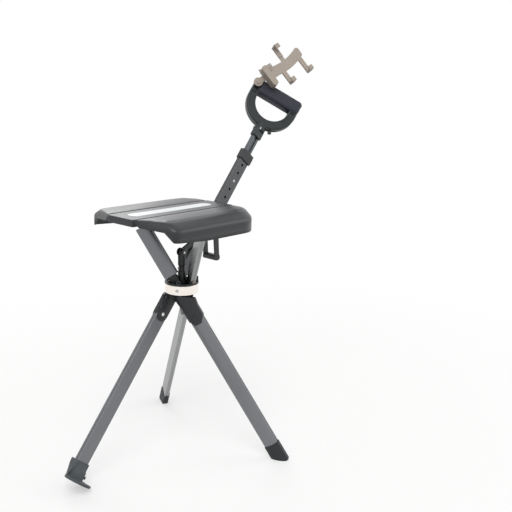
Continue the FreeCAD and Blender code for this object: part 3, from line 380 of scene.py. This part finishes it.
TUBE_GREY = "#7b7d80"
FINISHES = {
    # Tubes: aluminium drawn along each leg and anodised, so a soft metallic grey with faint lines
    "main_tube": DrawnAluminium("anodised_aluminium_main", TUBE_GREY, tuple(Leg.MAIN.axis())),
    "right_tube": DrawnAluminium("anodised_aluminium_right", TUBE_GREY, tuple(Leg.RIGHT.axis())),
    # Back leg and its seat bar: the same anodised tube in a lighter grey, a painted highlight where the light
    # falls on them
    "back_tube_painted_light": DrawnAluminium("anodised_aluminium_back_painted_light", "#a0a1a1", tuple(Leg.BACK.axis())),
    # Pole: the same anodised tube in a darker grey, painted shade under the seat
    "pole_tube": DrawnAluminium("anodised_aluminium_pole_painted_shade", "#5a5b5d", tuple(Leg.MAIN.axis())),
    "inner_tube": DrawnAluminium("anodised_aluminium_inner", "#606366", tuple(Leg.MAIN.axis()), line=0.5),
    # The second colour of each moulded plastic below is the painted highlight on its edges
    # Knuckles, rim, post, carrier and loop: glass-filled nylon, moulded, so near black with a coarse grain
    "casting": MouldedPlastic("glass_filled_nylon", "#232528", "#4c4e52", roughness=0.42, grain=1.4,
                              depth=0.07),
    # Seat: moulded polypropylene with a satin face, so broad soft highlights
    "seat": MouldedPlastic("seat_polypropylene", "#2c2e32", "#505257", roughness=0.34, grain=1.2, edge=1.6),
    # Feet: moulded rubber, so dull and fine grained, on the main leg greyer than on the others
    "rubber": MouldedPlastic("moulded_rubber", "#23262a", "#414447", roughness=0.62, grain=0.9, edge=1.4),
    "main_rubber": MouldedPlastic("grey_rubber", "#4a5053", "#666b6e", roughness=0.6, grain=0.9, edge=1.4),
    # Handle: moulded ABS with a satin face, and a grip of bluish soft-touch elastomer that is matt
    "handle": MouldedPlastic("handle_abs", "#1b2326", "#434b4e", roughness=0.38, grain=1.0, edge=1.2),
    "grip": MouldedPlastic("soft_touch_elastomer", "#262935", "#444855", roughness=0.6, grain=1.3,
                           depth=0.09),
    # Holder: moulded nylon in beige, with a fine matt grain
    "holder": MouldedPlastic("holder_nylon", "#b5a99d", "#d8cfc5", roughness=0.48, grain=1.2, edge=1.0),
    # Light strip, button and screw: polished moulds, so hardly any grain and clear highlights
    "insert": MouldedPlastic("insert_gloss_abs", "#e2e7e9", "#ffffff", roughness=0.16, grain=3.0, depth=0.01,
                             mottle=0.03),
    "white": MouldedPlastic("white_acetal", "#e4e4e2", "#ffffff", roughness=0.3, mottle=0.04, depth=0.01),
    # Ring, pins and rivets: turned or plated metal, so bright with soft reflections
    "ring": BareMetal("polished_aluminium_band", "#f6efe7", 0.24),
    "steel": BareMetal("zinc_plated_steel", "#b9babb", 0.3),
    "rivet": BareMetal("nickel_plated_rivet", "#e9e9ea", 0.34),
}

NODE_FINISH = {
    "main_leg_tube": "main_tube", "main_pole_tube": "pole_tube", "right_leg_tube": "right_tube",
    "right_seat_bar": "right_tube", "back_leg_tube": "back_tube_painted_light", "back_seat_bar": "back_tube_painted_light",
    "handle_inner_tube": "inner_tube",
    "main_leg_knuckle": "casting", "right_leg_knuckle": "casting", "back_leg_knuckle": "casting",
    "hub_core": "casting", "hub_pin_spacers": "casting", "hub_flange": "casting", "fold_stem": "casting",
    "fold_stay": "casting", "seat_carrier": "casting", "pull_loop": "casting", "pole_collar": "casting",
    "table_hook": "casting",
    "seat_centre_panel": "seat", "seat_wing_far": "seat", "seat_wing_near": "seat",
    "main_foot_tip": "rubber", "right_foot_tip": "rubber", "back_foot_tip": "rubber",
    "handle_body": "handle", "handle_grip": "grip",
    "phone_holder_arm": "holder", "phone_holder_clamp": "holder", "phone_holder_claw": "holder",
    "seat_light_strip": "insert", "snap_button": "white", "socket_screw": "white", "hub_ring": "ring",
    "main_leg_rivet": "steel", "right_leg_rivet": "casting", "back_leg_rivet": "casting",
    "hub_leg_pins": "steel",
    "fold_stem_pin": "steel", "fold_stay_pin": "steel", "seat_hinge_pins": "steel", "grip_screws": "casting",
    "phone_holder_screw": "steel", "phone_holder_pin": "holder", "table_hook_pin": "casting",
}


@dataclass
class Wardrobe:
    """All finishes, built once, and the dressing of the CAD nodes."""

    built: dict[str, bpy.types.Material]

    @classmethod
    def stock(cls) -> "Wardrobe":
        """Build every finish."""
        return cls({key: finish.build() for key, finish in FINISHES.items()})

    def dress(self, piece: bpy.types.Object, key: str) -> None:
        """Give a piece one finish.

        Args:
            piece: Object to dress.
            key: Name of the finish.
        """
        piece.data.materials.clear()
        piece.data.materials.append(self.built[key])

    def dress_nodes(self, nodes: dict[str, bpy.types.Object]) -> None:
        """Give each CAD node its finish.

        Args:
            nodes: CAD objects by node name.
        """
        for name, piece in nodes.items():
            self.dress(piece, NODE_FINISH[name])
            LOG.info("node %s: %s", name, NODE_FINISH[name])


@dataclass
class Bench:
    """Turns finished bmesh shapes, drawn in millimetres, into pieces of the seat."""

    wardrobe: Wardrobe

    def piece(self, shape: bmesh.types.BMesh, name: str, place: Matrix, body: str, finish: str,
              slot: str) -> bpy.types.Object:
        """Make a piece of a shape and set it on its body.

        Args:
            shape: Shape in millimetres, in the frame of place.
            name: Name of the piece.
            place: Matrix from that frame, in metres, to the opened seat.
            body: Body that the piece moves with.
            finish: Name of the finish.
            slot: Not used.

        Returns:
            The new object.
        """
        bmesh.ops.scale(shape, vec=(MM, MM, MM), verts=shape.verts)
        bmesh.ops.transform(shape, matrix=place, verts=shape.verts)
        bmesh.ops.remove_doubles(shape, verts=shape.verts, dist=MERGE * MM)
        bmesh.ops.recalc_face_normals(shape, faces=shape.faces)
        data = bpy.data.meshes.new(name)
        shape.to_mesh(data)
        shape.free()
        data.shade_smooth()
        data.set_sharp_from_angle(angle=math.radians(SHARP_ANGLE))
        made = bpy.data.objects.new(name, data)
        bpy.context.scene.collection.objects.link(made)
        self.wardrobe.dress(made, finish)
        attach(made, body)
        LOG.info("piece %s on %s: %s", name, body, finish)
        return made

    def carve(self, made: bpy.types.Object, rooms: list[bmesh.types.BMesh], place: Matrix) -> None:
        """Cut rooms out of a piece.

        Args:
            made: Piece to cut.
            rooms: Closed shapes in millimetres, in the frame of place.
            place: Matrix from that frame, in metres, to the opened seat.
        """
        for room in rooms:
            bmesh.ops.scale(room, vec=(MM, MM, MM), verts=room.verts)
            bmesh.ops.transform(room, matrix=place, verts=room.verts)
            data = bpy.data.meshes.new("room")
            room.to_mesh(data)
            room.free()
            cutter = bpy.data.objects.new("room", data)
            bpy.context.scene.collection.objects.link(cutter)
            cut = made.modifiers.new("cut", "BOOLEAN")
            cut.object = cutter
            cut.solver = "EXACT"
            result = made.evaluated_get(bpy.context.evaluated_depsgraph_get())
            solid = bpy.data.meshes.new_from_object(result)
            made.modifiers.clear()
            made.data = solid
            bpy.data.objects.remove(cutter)


def add_box(shape: bmesh.types.BMesh, low: Point, high: Point, edge: float = 0.0) -> None:
    """Add a box, with round edges where a radius is given, to a shape.

    Args:
        shape: Shape that takes the box.
        low: Lowest corner.
        high: Highest corner.
        edge: Radius of the edges.
    """
    size = Vector(high) - Vector(low)
    middle = (Vector(high) + Vector(low)) / 2.0
    made = bmesh.ops.create_cube(shape, size=1.0)["verts"]
    bmesh.ops.scale(shape, vec=size, verts=made)
    bmesh.ops.translate(shape, vec=middle, verts=made)
    if edge > 0.0:
        edges = list(dict.fromkeys(line for vert in made for line in vert.link_edges))
        bmesh.ops.bevel(shape, geom=edges, offset=edge, affect="EDGES", segments=4, profile=0.5, material=-1)


def add_rod(shape: bmesh.types.BMesh, start: Point, end: Point, radius: float, head: float,
            segments: int = 32) -> None:
    """Add a round bar or a cone to a shape.

    Args:
        shape: Shape that takes the bar.
        start: Middle of the first end.
        end: Middle of the second end.
        radius: Radius at the first end.
        head: Radius at the second end.
        segments: Number of sides.
    """
    run = Vector(end) - Vector(start)
    turn = run.to_track_quat("Z", "Y").to_matrix().to_4x4()
    matrix = Matrix.Translation((Vector(start) + Vector(end)) / 2.0) @ turn
    bmesh.ops.create_cone(shape, cap_ends=True, segments=segments, radius1=radius, radius2=head,
                          depth=run.length, matrix=matrix)


@dataclass
class Wing:
    """Seat wing: a hollow moulded shell with a soft crown, a sloped shoulder and a deep skirt.

    Sizes are in millimetres, x runs to the rear, and y runs from the middle to the side of the wing. The
    walls are low where the folded tubes, the pull loop and the centre panel need room below them.
    """

    side: int
    front: float = -155.0
    rear: float = 104.0
    inner: float = 35.4
    outer: float = 113.0
    sweep: float = 30.0
    front_round: float = 9.0
    rear_round: float = 50.0
    wall: float = 3.0
    crown: float = 1.3
    crown_shift: float = 8.0
    grid: float = 16.0
    grid_cuts: int = 15
    crown_cuts: tuple[float, ...] = (57.0, 69.0, 80.0)
    hinge_drop: float = 8.7
    room_step: float = 40.4
    room_start: float = 45.4
    room_end: float = 91.4
    skirt_start: tuple[float, float] = (108.0, 101.4)
    front_drop: tuple[float, float] = (13.0, 17.0)
    rear_drop: float = 6.9
    skirt: tuple[float, float] = (31.0, 39.0)
    skirt_run: tuple[float, float] = (-165.0, -45.0)
    eye_pairs: tuple[float, ...] = (-140.0, -96.0, 34.0, 66.0)
    eye_length: float = 12.0
    eye_gap: float = 0.4
    eye_radius: float = 3.4
    eye_drop: float = 9.0
    web: tuple[float, float, float] = (1.0, 9.0, 0.4)
    slack: float = 0.1

    # Rings from the top down: inset outside, at the hinge and at both ends, and the drop below the top. The
    # last step then goes straight down, further than any wall reaches
    RINGS: ClassVar[tuple[tuple[float, ...], ...]] = (
        (26.0, 2.8, 4.8, 0.0), (22.0, 1.5, 3.8, 0.5), (17.0, 0.6, 2.8, 2.0), (5.2, 0.0, 1.4, 9.0),
        (2.1, 0.0, 0.6, 11.6), (0.6, 0.0, 0.1, 14.4), (0.0, 0.0, 0.0, 17.5))
    BELOW: ClassVar[float] = -90.0

    def plate(self) -> bmesh.types.BMesh:
        """Flat outline with round corners, cut to a grid.

        Returns:
            Shape with the wing's outline at zero height.
        """
        shape = bmesh.new()
        corners = ((self.front, self.inner), (self.front + self.sweep, self.outer),
                   (self.rear, self.outer), (self.rear, self.inner))
        made = [shape.verts.new((x, y, 0.0)) for x, y in corners]
        shape.faces.new(made)
        bmesh.ops.bevel(shape, geom=[made[1]], offset=self.front_round, affect="VERTICES", segments=5,
                        profile=0.5, material=-1)
        rear = max(shape.verts, key=lambda v: v.co.x + v.co.y)
        bmesh.ops.bevel(shape, geom=[rear], offset=self.rear_round, affect="VERTICES", segments=14,
                        profile=0.5, material=-1)
        across = [self.room_step, self.room_start, self.room_end, *self.skirt_start, *self.crown_cuts]
        along = [self.front + step * self.grid for step in range(1, self.grid_cuts + 1)]
        cuts = [((0.0, y, 0.0), (0.0, 1.0, 0.0)) for y in across]
        cuts += [((x, 0.0, 0.0), (1.0, 0.0, 0.0)) for x in along]
        for at, normal in cuts:
            geom = shape.verts[:] + shape.edges[:] + shape.faces[:]
            bmesh.ops.bisect_plane(shape, geom=geom, dist=0.001, plane_co=at, plane_no=normal)
        return shape

    def fit(self, ring: tuple[float, ...]) -> Matrix:
        """Matrix from the full outline to a ring.

        Args:
            ring: One entry of RINGS.

        Returns:
            Scale and shift in the plane, and the drop.
        """
        out, hinge, end, drop = ring
        length = self.rear - self.front
        width = self.outer - self.inner
        by = (width - out - hinge) / width
        bx = (length - 2.0 * end) / length
        middle = (self.rear + self.front) / 2.0
        shift = Matrix.Translation((middle * (1.0 - bx), self.inner * (1.0 - by) + hinge, SEAT_TOP - drop))
        return shift @ Matrix.Diagonal((bx, by, 1.0, 1.0))

    def drop_at(self, x: float, y: float) -> float:
        """Depth of the wall's lower edge below the seat's top.

        Args:
            x: Place along the seat.
            y: Place across, from the middle.

        Returns:
            Depth in millimetres.
        """
        run = min(1.0, max(0.0, (x - self.skirt_run[0]) / (self.skirt_run[1] - self.skirt_run[0])))
        skirt = self.skirt[0] + run * (self.skirt[1] - self.skirt[0])
        if y < self.room_step:
            return self.hinge_drop
        start = self.skirt_start[0 if x < 0.0 else 1]
        if y >= start - self.slack:
            return skirt
        ends = self.front_drop if x < 0.0 else (self.rear_drop, self.rear_drop)
        if y < self.room_start:
            share = (y - self.room_step) / (self.room_start - self.room_step)
            return self.hinge_drop + (ends[0] - self.hinge_drop) * share
        if y <= self.room_end + self.slack:
            share = (y - self.room_start) / (self.room_end - self.room_start)
            return ends[0] + (ends[1] - ends[0]) * share
        return ends[1] + (skirt - ends[1]) * (y - self.room_end) / (start - self.room_end)

    def shell(self) -> bmesh.types.BMesh:
        """Crowned top with rings of wall down to the lower edge.

        Returns:
            Open shell in the seat's drawing frame, on the side of positive y.
        """
        shape = self.plate()
        bmesh.ops.transform(shape, matrix=self.fit(self.RINGS[0]), verts=shape.verts)
        rim = [line for line in shape.edges if line.is_boundary]
        middle = (self.inner + self.outer) / 2.0 - self.crown_shift
        for vert in shape.verts:
            if not vert.is_boundary:
                across = (vert.co.y - middle) / (middle - self.inner)
                vert.co.z += self.crown * max(0.0, 1.0 - across ** 2)
        drawn = {vert: vert.co.copy() for line in rim for vert in line.verts}
        pairs = zip(self.RINGS, self.RINGS[1:])
        steps = [self.fit(ring) @ self.fit(before).inverted() for before, ring in pairs]
        for step in [*steps, Matrix.Translation((0.0, 0.0, self.BELOW))]:
            made = bmesh.ops.extrude_edge_only(shape, edges=rim)["geom"]
            rim = [item for item in made if isinstance(item, bmesh.types.BMEdge)]
            new = {item for item in made if isinstance(item, bmesh.types.BMVert)}
            for vert in new:
                others = [line.other_vert(vert) for line in vert.link_edges]
                above = next(other for other in others if other not in new)
                drawn[vert] = step @ drawn[above]
                vert.co = self.stop(above.co, drawn[vert])
        return shape

    def stop(self, above: Vector, below: Vector) -> Vector:
        """Point of the wall on its way down, no lower than the wall's lower edge.

        Args:
            above: Point of the ring above.
            below: Point that the next ring would have.

        Returns:
            The point of the next ring.
        """
        limit = SEAT_TOP - self.drop_at(below.x, below.y)
        if below.z >= limit:
            return below.copy()
        if above.z <= limit:
            return above.copy()
        return above.lerp(below, (above.z - limit) / (above.z - below.z))

    def eyes(self) -> bmesh.types.BMesh:
        """Hinge eyes with their webs to the inner wall.

        Returns:
            Shape in the seat's drawing frame, on the side of positive y.
        """
        shape = bmesh.new()
        y = self.inner - self.eye_gap
        z = SEAT_TOP - self.eye_drop
        web_in, web_out, web_low = self.web
        for at in self.eye_pairs:
            start = at + self.eye_length + self.eye_gap
            end = start + self.eye_length
            add_rod(shape, (start, y, z), (end, y, z), self.eye_radius, self.eye_radius, segments=24)
            add_box(shape, (start, y + web_in, z + web_low), (end, y + web_out, z + self.eye_radius))
        return shape

    def build(self, bench: Bench) -> None:
        """Make the wing and its hinge eyes.

        Args:
            bench: Bench that makes the pieces.
        """
        name = "far" if self.side > 0 else "near"
        place = seat_place() @ Matrix.Diagonal((1.0, self.side, 1.0, 1.0))
        shell = bench.piece(self.shell(), f"wing_{name}_shell", place, f"wing_{name}", "seat", "seat_plastic")
        thick = shell.modifiers.new("wall", "SOLIDIFY")
        thick.thickness = self.wall * MM
        thick.offset = -1.0
        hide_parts(f"seat_wing_{name}")
        bench.piece(self.eyes(), f"wing_{name}_eyes", place, f"wing_{name}", "seat", "seat_plastic")


@dataclass
class MainFoot:
    """Large rubber foot: a cup that flares from the tube to a round sole, with a notch on one side.

    Sizes are in millimetres in the main leg's frame, and the heights in the rings count from the sole.
    """

    sole_at: float = -409.45
    sole_radius: float = 25.2
    lip: float = 4.4
    cup_half: float = 16.2
    cup_in: float = 8.6
    cup_out: float = 26.7
    cup_corner: float = 1.4
    notch_x: float = -17.0
    nose_slope: float = 1.5
    nose_round: float = 5.0
    nose_gap: float = 0.1
    segments: int = 72
    room_start: float = 9.0
    room_end: float = 60.0

    # Rings of the sole's lip: height and radius
    SOLE: ClassVar[tuple[tuple[float, float], ...]] = ((0.0, 24.6), (1.0, 25.7), (4.4, 26.0))
    # Rings of the flare: height, share of the way from the sole to the cup, and width
    FLARE: ClassVar[tuple[tuple[float, float, float], ...]] = (
        (4.4, 0.0, 1.0), (5.9, 0.03, 1.0), (13.0, 0.3, 1.0), (21.0, 0.62, 1.0), (27.0, 0.9, 1.0),
        (34.8, 1.0, 1.0), (36.0, 1.0, 0.96))
    # Tab in the notch and its stem: lowest and highest corner above the lip, and the radius of the edges
    TAB: ClassVar[tuple[tuple[Point, Point, float], ...]] = (
        ((-24.4, -19.0, 4.4), (-15.0, -9.2, 10.0), 0.9), ((-21.0, -17.0, -0.5), (-15.0, -10.5, 5.0), 0.5))

    def cup_point(self, vert: Vector) -> Vector:
        """Point of the cup's section with its corners cut off.

        Args:
            vert: Point on the unit circle.

        Returns:
            The point at zero height.
        """
        middle = -(self.cup_in + self.cup_out) / 2.0
        half = (self.cup_out - self.cup_in) / 2.0
        x = max(-self.cup_half, min(self.cup_half, vert.x * self.cup_half * self.cup_corner))
        y = max(-half, min(half, vert.y * half * self.cup_corner))
        return Vector((x, middle + y, 0.0))

    def nose_at(self, x: float) -> float:
        """How far the flare may reach towards the hub axis, between the two folded side feet."""
        reach = max(0.0, self.cup_half - math.hypot(x, self.nose_round))
        return -self.cup_in - self.nose_gap + self.nose_slope * reach

    def build(self, bench: Bench) -> None:
        """Make the foot: lip of the sole, flare, cup and the tab in the notch.

        Args:
            bench: Bench that makes the piece.
        """
        shape = bmesh.new()
        rings = []
        for height, radius in self.SOLE:
            ring = bmesh.ops.create_circle(shape, segments=self.segments, radius=radius)["verts"]
            bmesh.ops.translate(shape, vec=(0.0, 0.0, self.sole_at + height), verts=ring)
            rings.append(ring)
        for height, share, width in self.FLARE:
            ring = bmesh.ops.create_circle(shape, segments=self.segments, radius=1.0)["verts"]
            for vert in ring:
                low = vert.co * self.sole_radius
                low.x = max(self.notch_x, low.x)
                vert.co = low.lerp(self.cup_point(vert.co), share)
                vert.co.x *= width
                if height > self.lip:
                    vert.co.y = min(vert.co.y, self.nose_at(vert.co.x))
                vert.co.z = self.sole_at + height
            rings.append(ring)
        for ring in (rings[0], rings[-1]):
            shape.faces.new(ring)
        for low, high in zip(rings, rings[1:]):
            edges = [line for line in shape.edges if all(v in low for v in line.verts)]
            edges += [line for line in shape.edges if all(v in high for v in line.verts)]
            bmesh.ops.bridge_loops(shape, edges=edges)
        base = self.sole_at + self.lip
        for low, high, edge in self.TAB:
            add_box(shape, (*low[:2], base + low[2]), (*high[:2], base + high[2]), edge)
        place = Leg.MAIN.place()
        foot = bench.piece(shape, "main_foot_rubber", place, "main", "main_rubber", "rubber")
        room = bmesh.new()
        add_box(room, (-TUBE_HALF, -TUBE_OUT, self.sole_at + self.room_start),
                (TUBE_HALF, -TUBE_IN, self.sole_at + self.room_end))
        bench.carve(foot, [room], place)
        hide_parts("main_foot_tip")


@dataclass
class KnucklePlate:
    """Inner cheek of a leg's knuckle casting with the head of its rivet.

    Sizes are in millimetres in the leg's frame.
    """

    leg: Leg
    half: float = 14.0
    thick: float = 1.4
    top: float = -27.5
    low: float = -78.0
    chin: float = 9.0
    chin_half: float = 0.62
    chin_drop: tuple[float, float] = (1.4, -0.6)
    edge: float = 0.7
    rim: tuple[float, float] = (0.05, 2.2)
    rim_deep: tuple[float, float] = (1.9, 0.2)
    rim_ends: tuple[float, float] = (12.0, 6.0)
    rim_edge: float = 0.5
    ribs: tuple[float, float] = (7.0, 14.0)
    rib_half: float = 0.8
    rib_inset: float = 3.0
    rib_deep: tuple[float, float] = (0.3, 0.5)
    rib_edge: float = 0.35
    lift: float = 0.02
    rivet_at: float = -64.0
    rivet_radius: float = 3.5
    rivet_steps: tuple[float, float, float] = (-0.2, 0.5, 1.0)
    rivet_top: float = 0.62

    def build(self, bench: Bench) -> None:
        """Make the cheek, its side rims and the rivet's head.

        Args:
            bench: Bench that makes the pieces.
        """
        shape = bmesh.new()
        face = -TUBE_IN
        chin = self.half * self.chin_half
        side_low, middle_low = (self.low + drop for drop in self.chin_drop)
        corners = ((-self.half, self.top), (self.half, self.top), (self.half, self.low + self.chin),
                   (chin, side_low), (0.0, middle_low), (-chin, side_low), (-self.half, self.low + self.chin))
        made = shape.faces.new([shape.verts.new((x, face + self.lift, z)) for x, z in corners])
        grown = bmesh.ops.extrude_face_region(shape, geom=[made])["geom"]
        top = [item for item in grown if isinstance(item, bmesh.types.BMVert)]
        bmesh.ops.translate(shape, vec=(0.0, self.thick, 0.0), verts=top)
        edges = [line for line in shape.edges if all(v in top for v in line.verts)]
        bmesh.ops.bevel(shape, geom=edges, offset=self.edge, affect="EDGES", segments=3, profile=0.5,
                        material=-1)
        for side in (-1.0, 1.0):
            x0, x1 = sorted(side * (self.half + out) for out in self.rim)
            add_box(shape, (x0, face - self.rim_deep[0], self.low + self.rim_ends[0]),
                    (x1, face - self.rim_deep[1], self.top - self.rim_ends[1]), self.rim_edge)
        rib_x = self.half - self.rib_inset
        for z in (self.top - self.ribs[0], self.top - self.ribs[1]):
            add_box(shape, (-rib_x, face + self.thick - self.rib_deep[0], z - self.rib_half),
                    (rib_x, face + self.thick + self.rib_deep[1], z + self.rib_half), self.rib_edge)
        name, _, _ = self.leg.value
        body = "main" if self.leg is Leg.MAIN else f"{name}_leg"
        bench.piece(shape, f"{name}_knuckle_cheek", self.leg.place(), body, "casting", "casting")
        head = bmesh.new()
        start, step, end = ((0.0, face + self.thick + y, self.rivet_at) for y in self.rivet_steps)
        add_rod(head, start, step, self.rivet_radius, self.rivet_radius)
        add_rod(head, step, end, self.rivet_radius, self.rivet_radius * self.rivet_top)
        finish = "rivet" if self.leg is Leg.MAIN else "casting"
        bench.piece(head, f"{name}_rivet_head", self.leg.place(), body, finish, "steel")


@dataclass
class Grip:
    """Soft grip round the handle's bar: a thick bar with round ends that covers the right corner.

    Sizes are in millimetres in the handle's frame.
    """

    left: float = -45.5
    right: float = 58.0
    low: float = 89.0
    high: float = 121.0
    deep: float = 14.0
    edge: float = 8.5
    arm_start: float = 45.6
    arm_half: float = 9.6
    boss_top: float = 113.0
    past: float = 5.0

    def build(self, bench: Bench) -> None:
        """Make the grip with the room for the arm's head and the hook.

        Args:
            bench: Bench that makes the piece.
        """
        shape = bmesh.new()
        size = Vector((self.right - self.left, self.deep * 2.0, self.high - self.low))
        middle = Vector(((self.right + self.left) / 2.0, 0.0, (self.high + self.low) / 2.0))
        made = bmesh.ops.create_cube(shape, size=1.0)["verts"]
        bmesh.ops.scale(shape, vec=size, verts=made)
        bmesh.ops.translate(shape, vec=middle, verts=made)
        bmesh.ops.bevel(shape, geom=shape.edges[:], offset=self.edge, affect="EDGES", segments=8, profile=0.5,
                        material=-1)
        place = handle_place()
        grip = bench.piece(shape, "grip_cover", place, "handle", "grip", "soft_grip")
        room = bmesh.new()
        add_box(room, (self.arm_start, -self.arm_half, self.low - self.past),
                (self.right + self.past, self.arm_half, self.boss_top))
        bench.carve(grip, [room], place)
        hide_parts("handle_grip")


@dataclass
class Studio:
    """Pale floor, white surroundings, soft lamps and the camera of the photograph. Sizes in metres."""

    floor_radius: float = 14.0
    floor_colour: str = "#f8f8f7"
    shadow_zone: float = 0.45
    white_zone: float = 1.5
    near_glow: float = 0.5
    world_level: float = 0.62
    aim: Point = (0.0, 0.0, 0.4)
    camera_at: Point = (-1.06503, -1.02911, 0.74606)
    yaw: float = 50.274
    pitch: float = 13.375
    roll: float = 2.07
    focal_pixels: float = 767.5
    frame_pixels: float = 512.0
    sensor: float = 36.0
    see_to: float = 60.0

    # Square lamps: name, place, side and watts. One above and left of the camera, one right, one behind
    LAMPS: ClassVar[tuple[tuple[str, Point, float, float], ...]] = (
        ("key_lamp", (-1.3, -0.9, 2.4), 1.6, 26.0), ("side_lamp", (1.8, -1.4, 1.2), 1.4, 9.0),
        ("rim_lamp", (0.9, 2.0, 1.7), 1.4, 16.0))

    def build(self) -> None:
        """Set up floor, world, lamps and camera."""
        self.floor()
        self.world()
        for name, at, size, watts in self.LAMPS:
            self.lamp(name, at, size, watts)
        self.camera()

    def floor(self) -> None:
        """Round pale floor that keeps the object's shadow."""
        shape = bmesh.new()
        bmesh.ops.create_circle(shape, cap_ends=True, segments=96, radius=self.floor_radius)
        data = bpy.data.meshes.new("studio_floor")
        shape.to_mesh(data)
        shape.free()
        floor = bpy.data.objects.new("studio_floor", data)
        bpy.context.scene.collection.objects.link(floor)
        material, tree = new_material("painted_floor")
        seen = self.seen_by_eye(tree)
        matte = add_node(tree, "ShaderNodeBsdfDiffuse", inputs={"Color": linear(self.floor_colour)})
        glow = add_node(tree, "ShaderNodeEmission", inputs={"Color": (1.0, 1.0, 1.0, 1.0), "Strength": seen})
        place = add_node(tree, "ShaderNodeTexCoord").outputs["Object"]
        away = add_node(tree, "ShaderNodeVectorMath", {"operation": "LENGTH"}, {0: place}).outputs["Value"]
        share = add_node(tree, "ShaderNodeMapRange", {"interpolation_type": "SMOOTHSTEP"},
                         {"Value": away, "From Min": self.shadow_zone, "From Max": self.white_zone,
                          "To Min": self.near_glow, "To Max": 1.0})
        mixed = add_node(tree, "ShaderNodeMixShader",
                         inputs={0: share.outputs["Result"], 1: matte.outputs[0], 2: glow.outputs[0]})
        add_node(tree, "ShaderNodeOutputMaterial", inputs={"Surface": mixed.outputs[0]})
        data.materials.append(material)

    def seen_by_eye(self, tree: bpy.types.NodeTree) -> bpy.types.NodeSocket:
        """Socket that is one for camera, glossy and transmission rays.

        Args:
            tree: Node tree of the floor or the world.

        Returns:
            The socket.
        """
        path = add_node(tree, "ShaderNodeLightPath")
        seen = path.outputs["Is Camera Ray"]
        for other in ("Is Glossy Ray", "Is Transmission Ray"):
            either = add_node(tree, "ShaderNodeMath", {"operation": "MAXIMUM"},
                              {0: seen, 1: path.outputs[other]})
            seen = either.outputs[0]
        return seen

    def world(self) -> None:
        """White surroundings for the camera and for reflections, and a softer level as light."""
        world = bpy.data.worlds.new("studio_world")
        world.use_nodes = True
        world.node_tree.nodes.clear()
        tree = world.node_tree
        seen = self.seen_by_eye(tree)
        level = add_node(tree, "ShaderNodeMapRange",
                         inputs={"Value": seen, "To Min": self.world_level, "To Max": 1.0})
        sky = add_node(tree, "ShaderNodeBackground",
                       inputs={"Color": (1.0, 1.0, 1.0, 1.0), "Strength": level.outputs["Result"]})
        add_node(tree, "ShaderNodeOutputWorld", inputs={"Surface": sky.outputs[0]})
        bpy.context.scene.world = world

    def lamp(self, name: str, at: Point, size: float, watts: float) -> None:
        """Hang one square lamp that faces the seat.

        Args:
            name: Name of the lamp.
            at: Place in metres.
            size: Side in metres.
            watts: Power.
        """
        data = bpy.data.lights.new(name, "AREA")
        data.size = size
        data.energy = watts
        lamp = bpy.data.objects.new(name, data)
        lamp.location = at
        aim = Vector(self.aim) - Vector(at)
        lamp.rotation_euler = aim.to_track_quat("-Z", "Y").to_euler()
        bpy.context.scene.collection.objects.link(lamp)

    def camera(self) -> None:
        """Place the camera at the photograph's viewing angle."""
        yaw = math.radians(self.yaw)
        data = bpy.data.cameras.new("studio_camera")
        data.sensor_width = self.sensor
        data.lens = self.sensor * self.focal_pixels / self.frame_pixels
        data.clip_end = self.see_to
        camera = bpy.data.objects.new("studio_camera", data)
        turn = Matrix.Rotation(-yaw, 4, "Z") @ Matrix.Rotation(math.radians(90.0 - self.pitch), 4, "X")
        turn = turn @ Matrix.Rotation(math.radians(self.roll), 4, "Z")
        camera.matrix_world = Matrix.Translation(self.camera_at) @ turn
        bpy.context.scene.collection.objects.link(camera)
        bpy.context.scene.camera = camera


def main() -> None:
    """Dress the walking stick seat and set it in the studio."""
    logging.basicConfig(level=logging.INFO, format="%(name)s: %(message)s")
    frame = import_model()
    bpy.context.scene.view_settings.view_transform = "Standard"
    wardrobe = Wardrobe.stock()
    wardrobe.dress_nodes(frame["nodes"])
    bench = Bench(wardrobe)
    for side in (1, -1):
        Wing(side).build(bench)
    MainFoot().build(bench)
    for leg in Leg:
        KnucklePlate(leg).build(bench)
    Grip().build(bench)
    Studio().build()


if __name__ == "__main__":
    main()
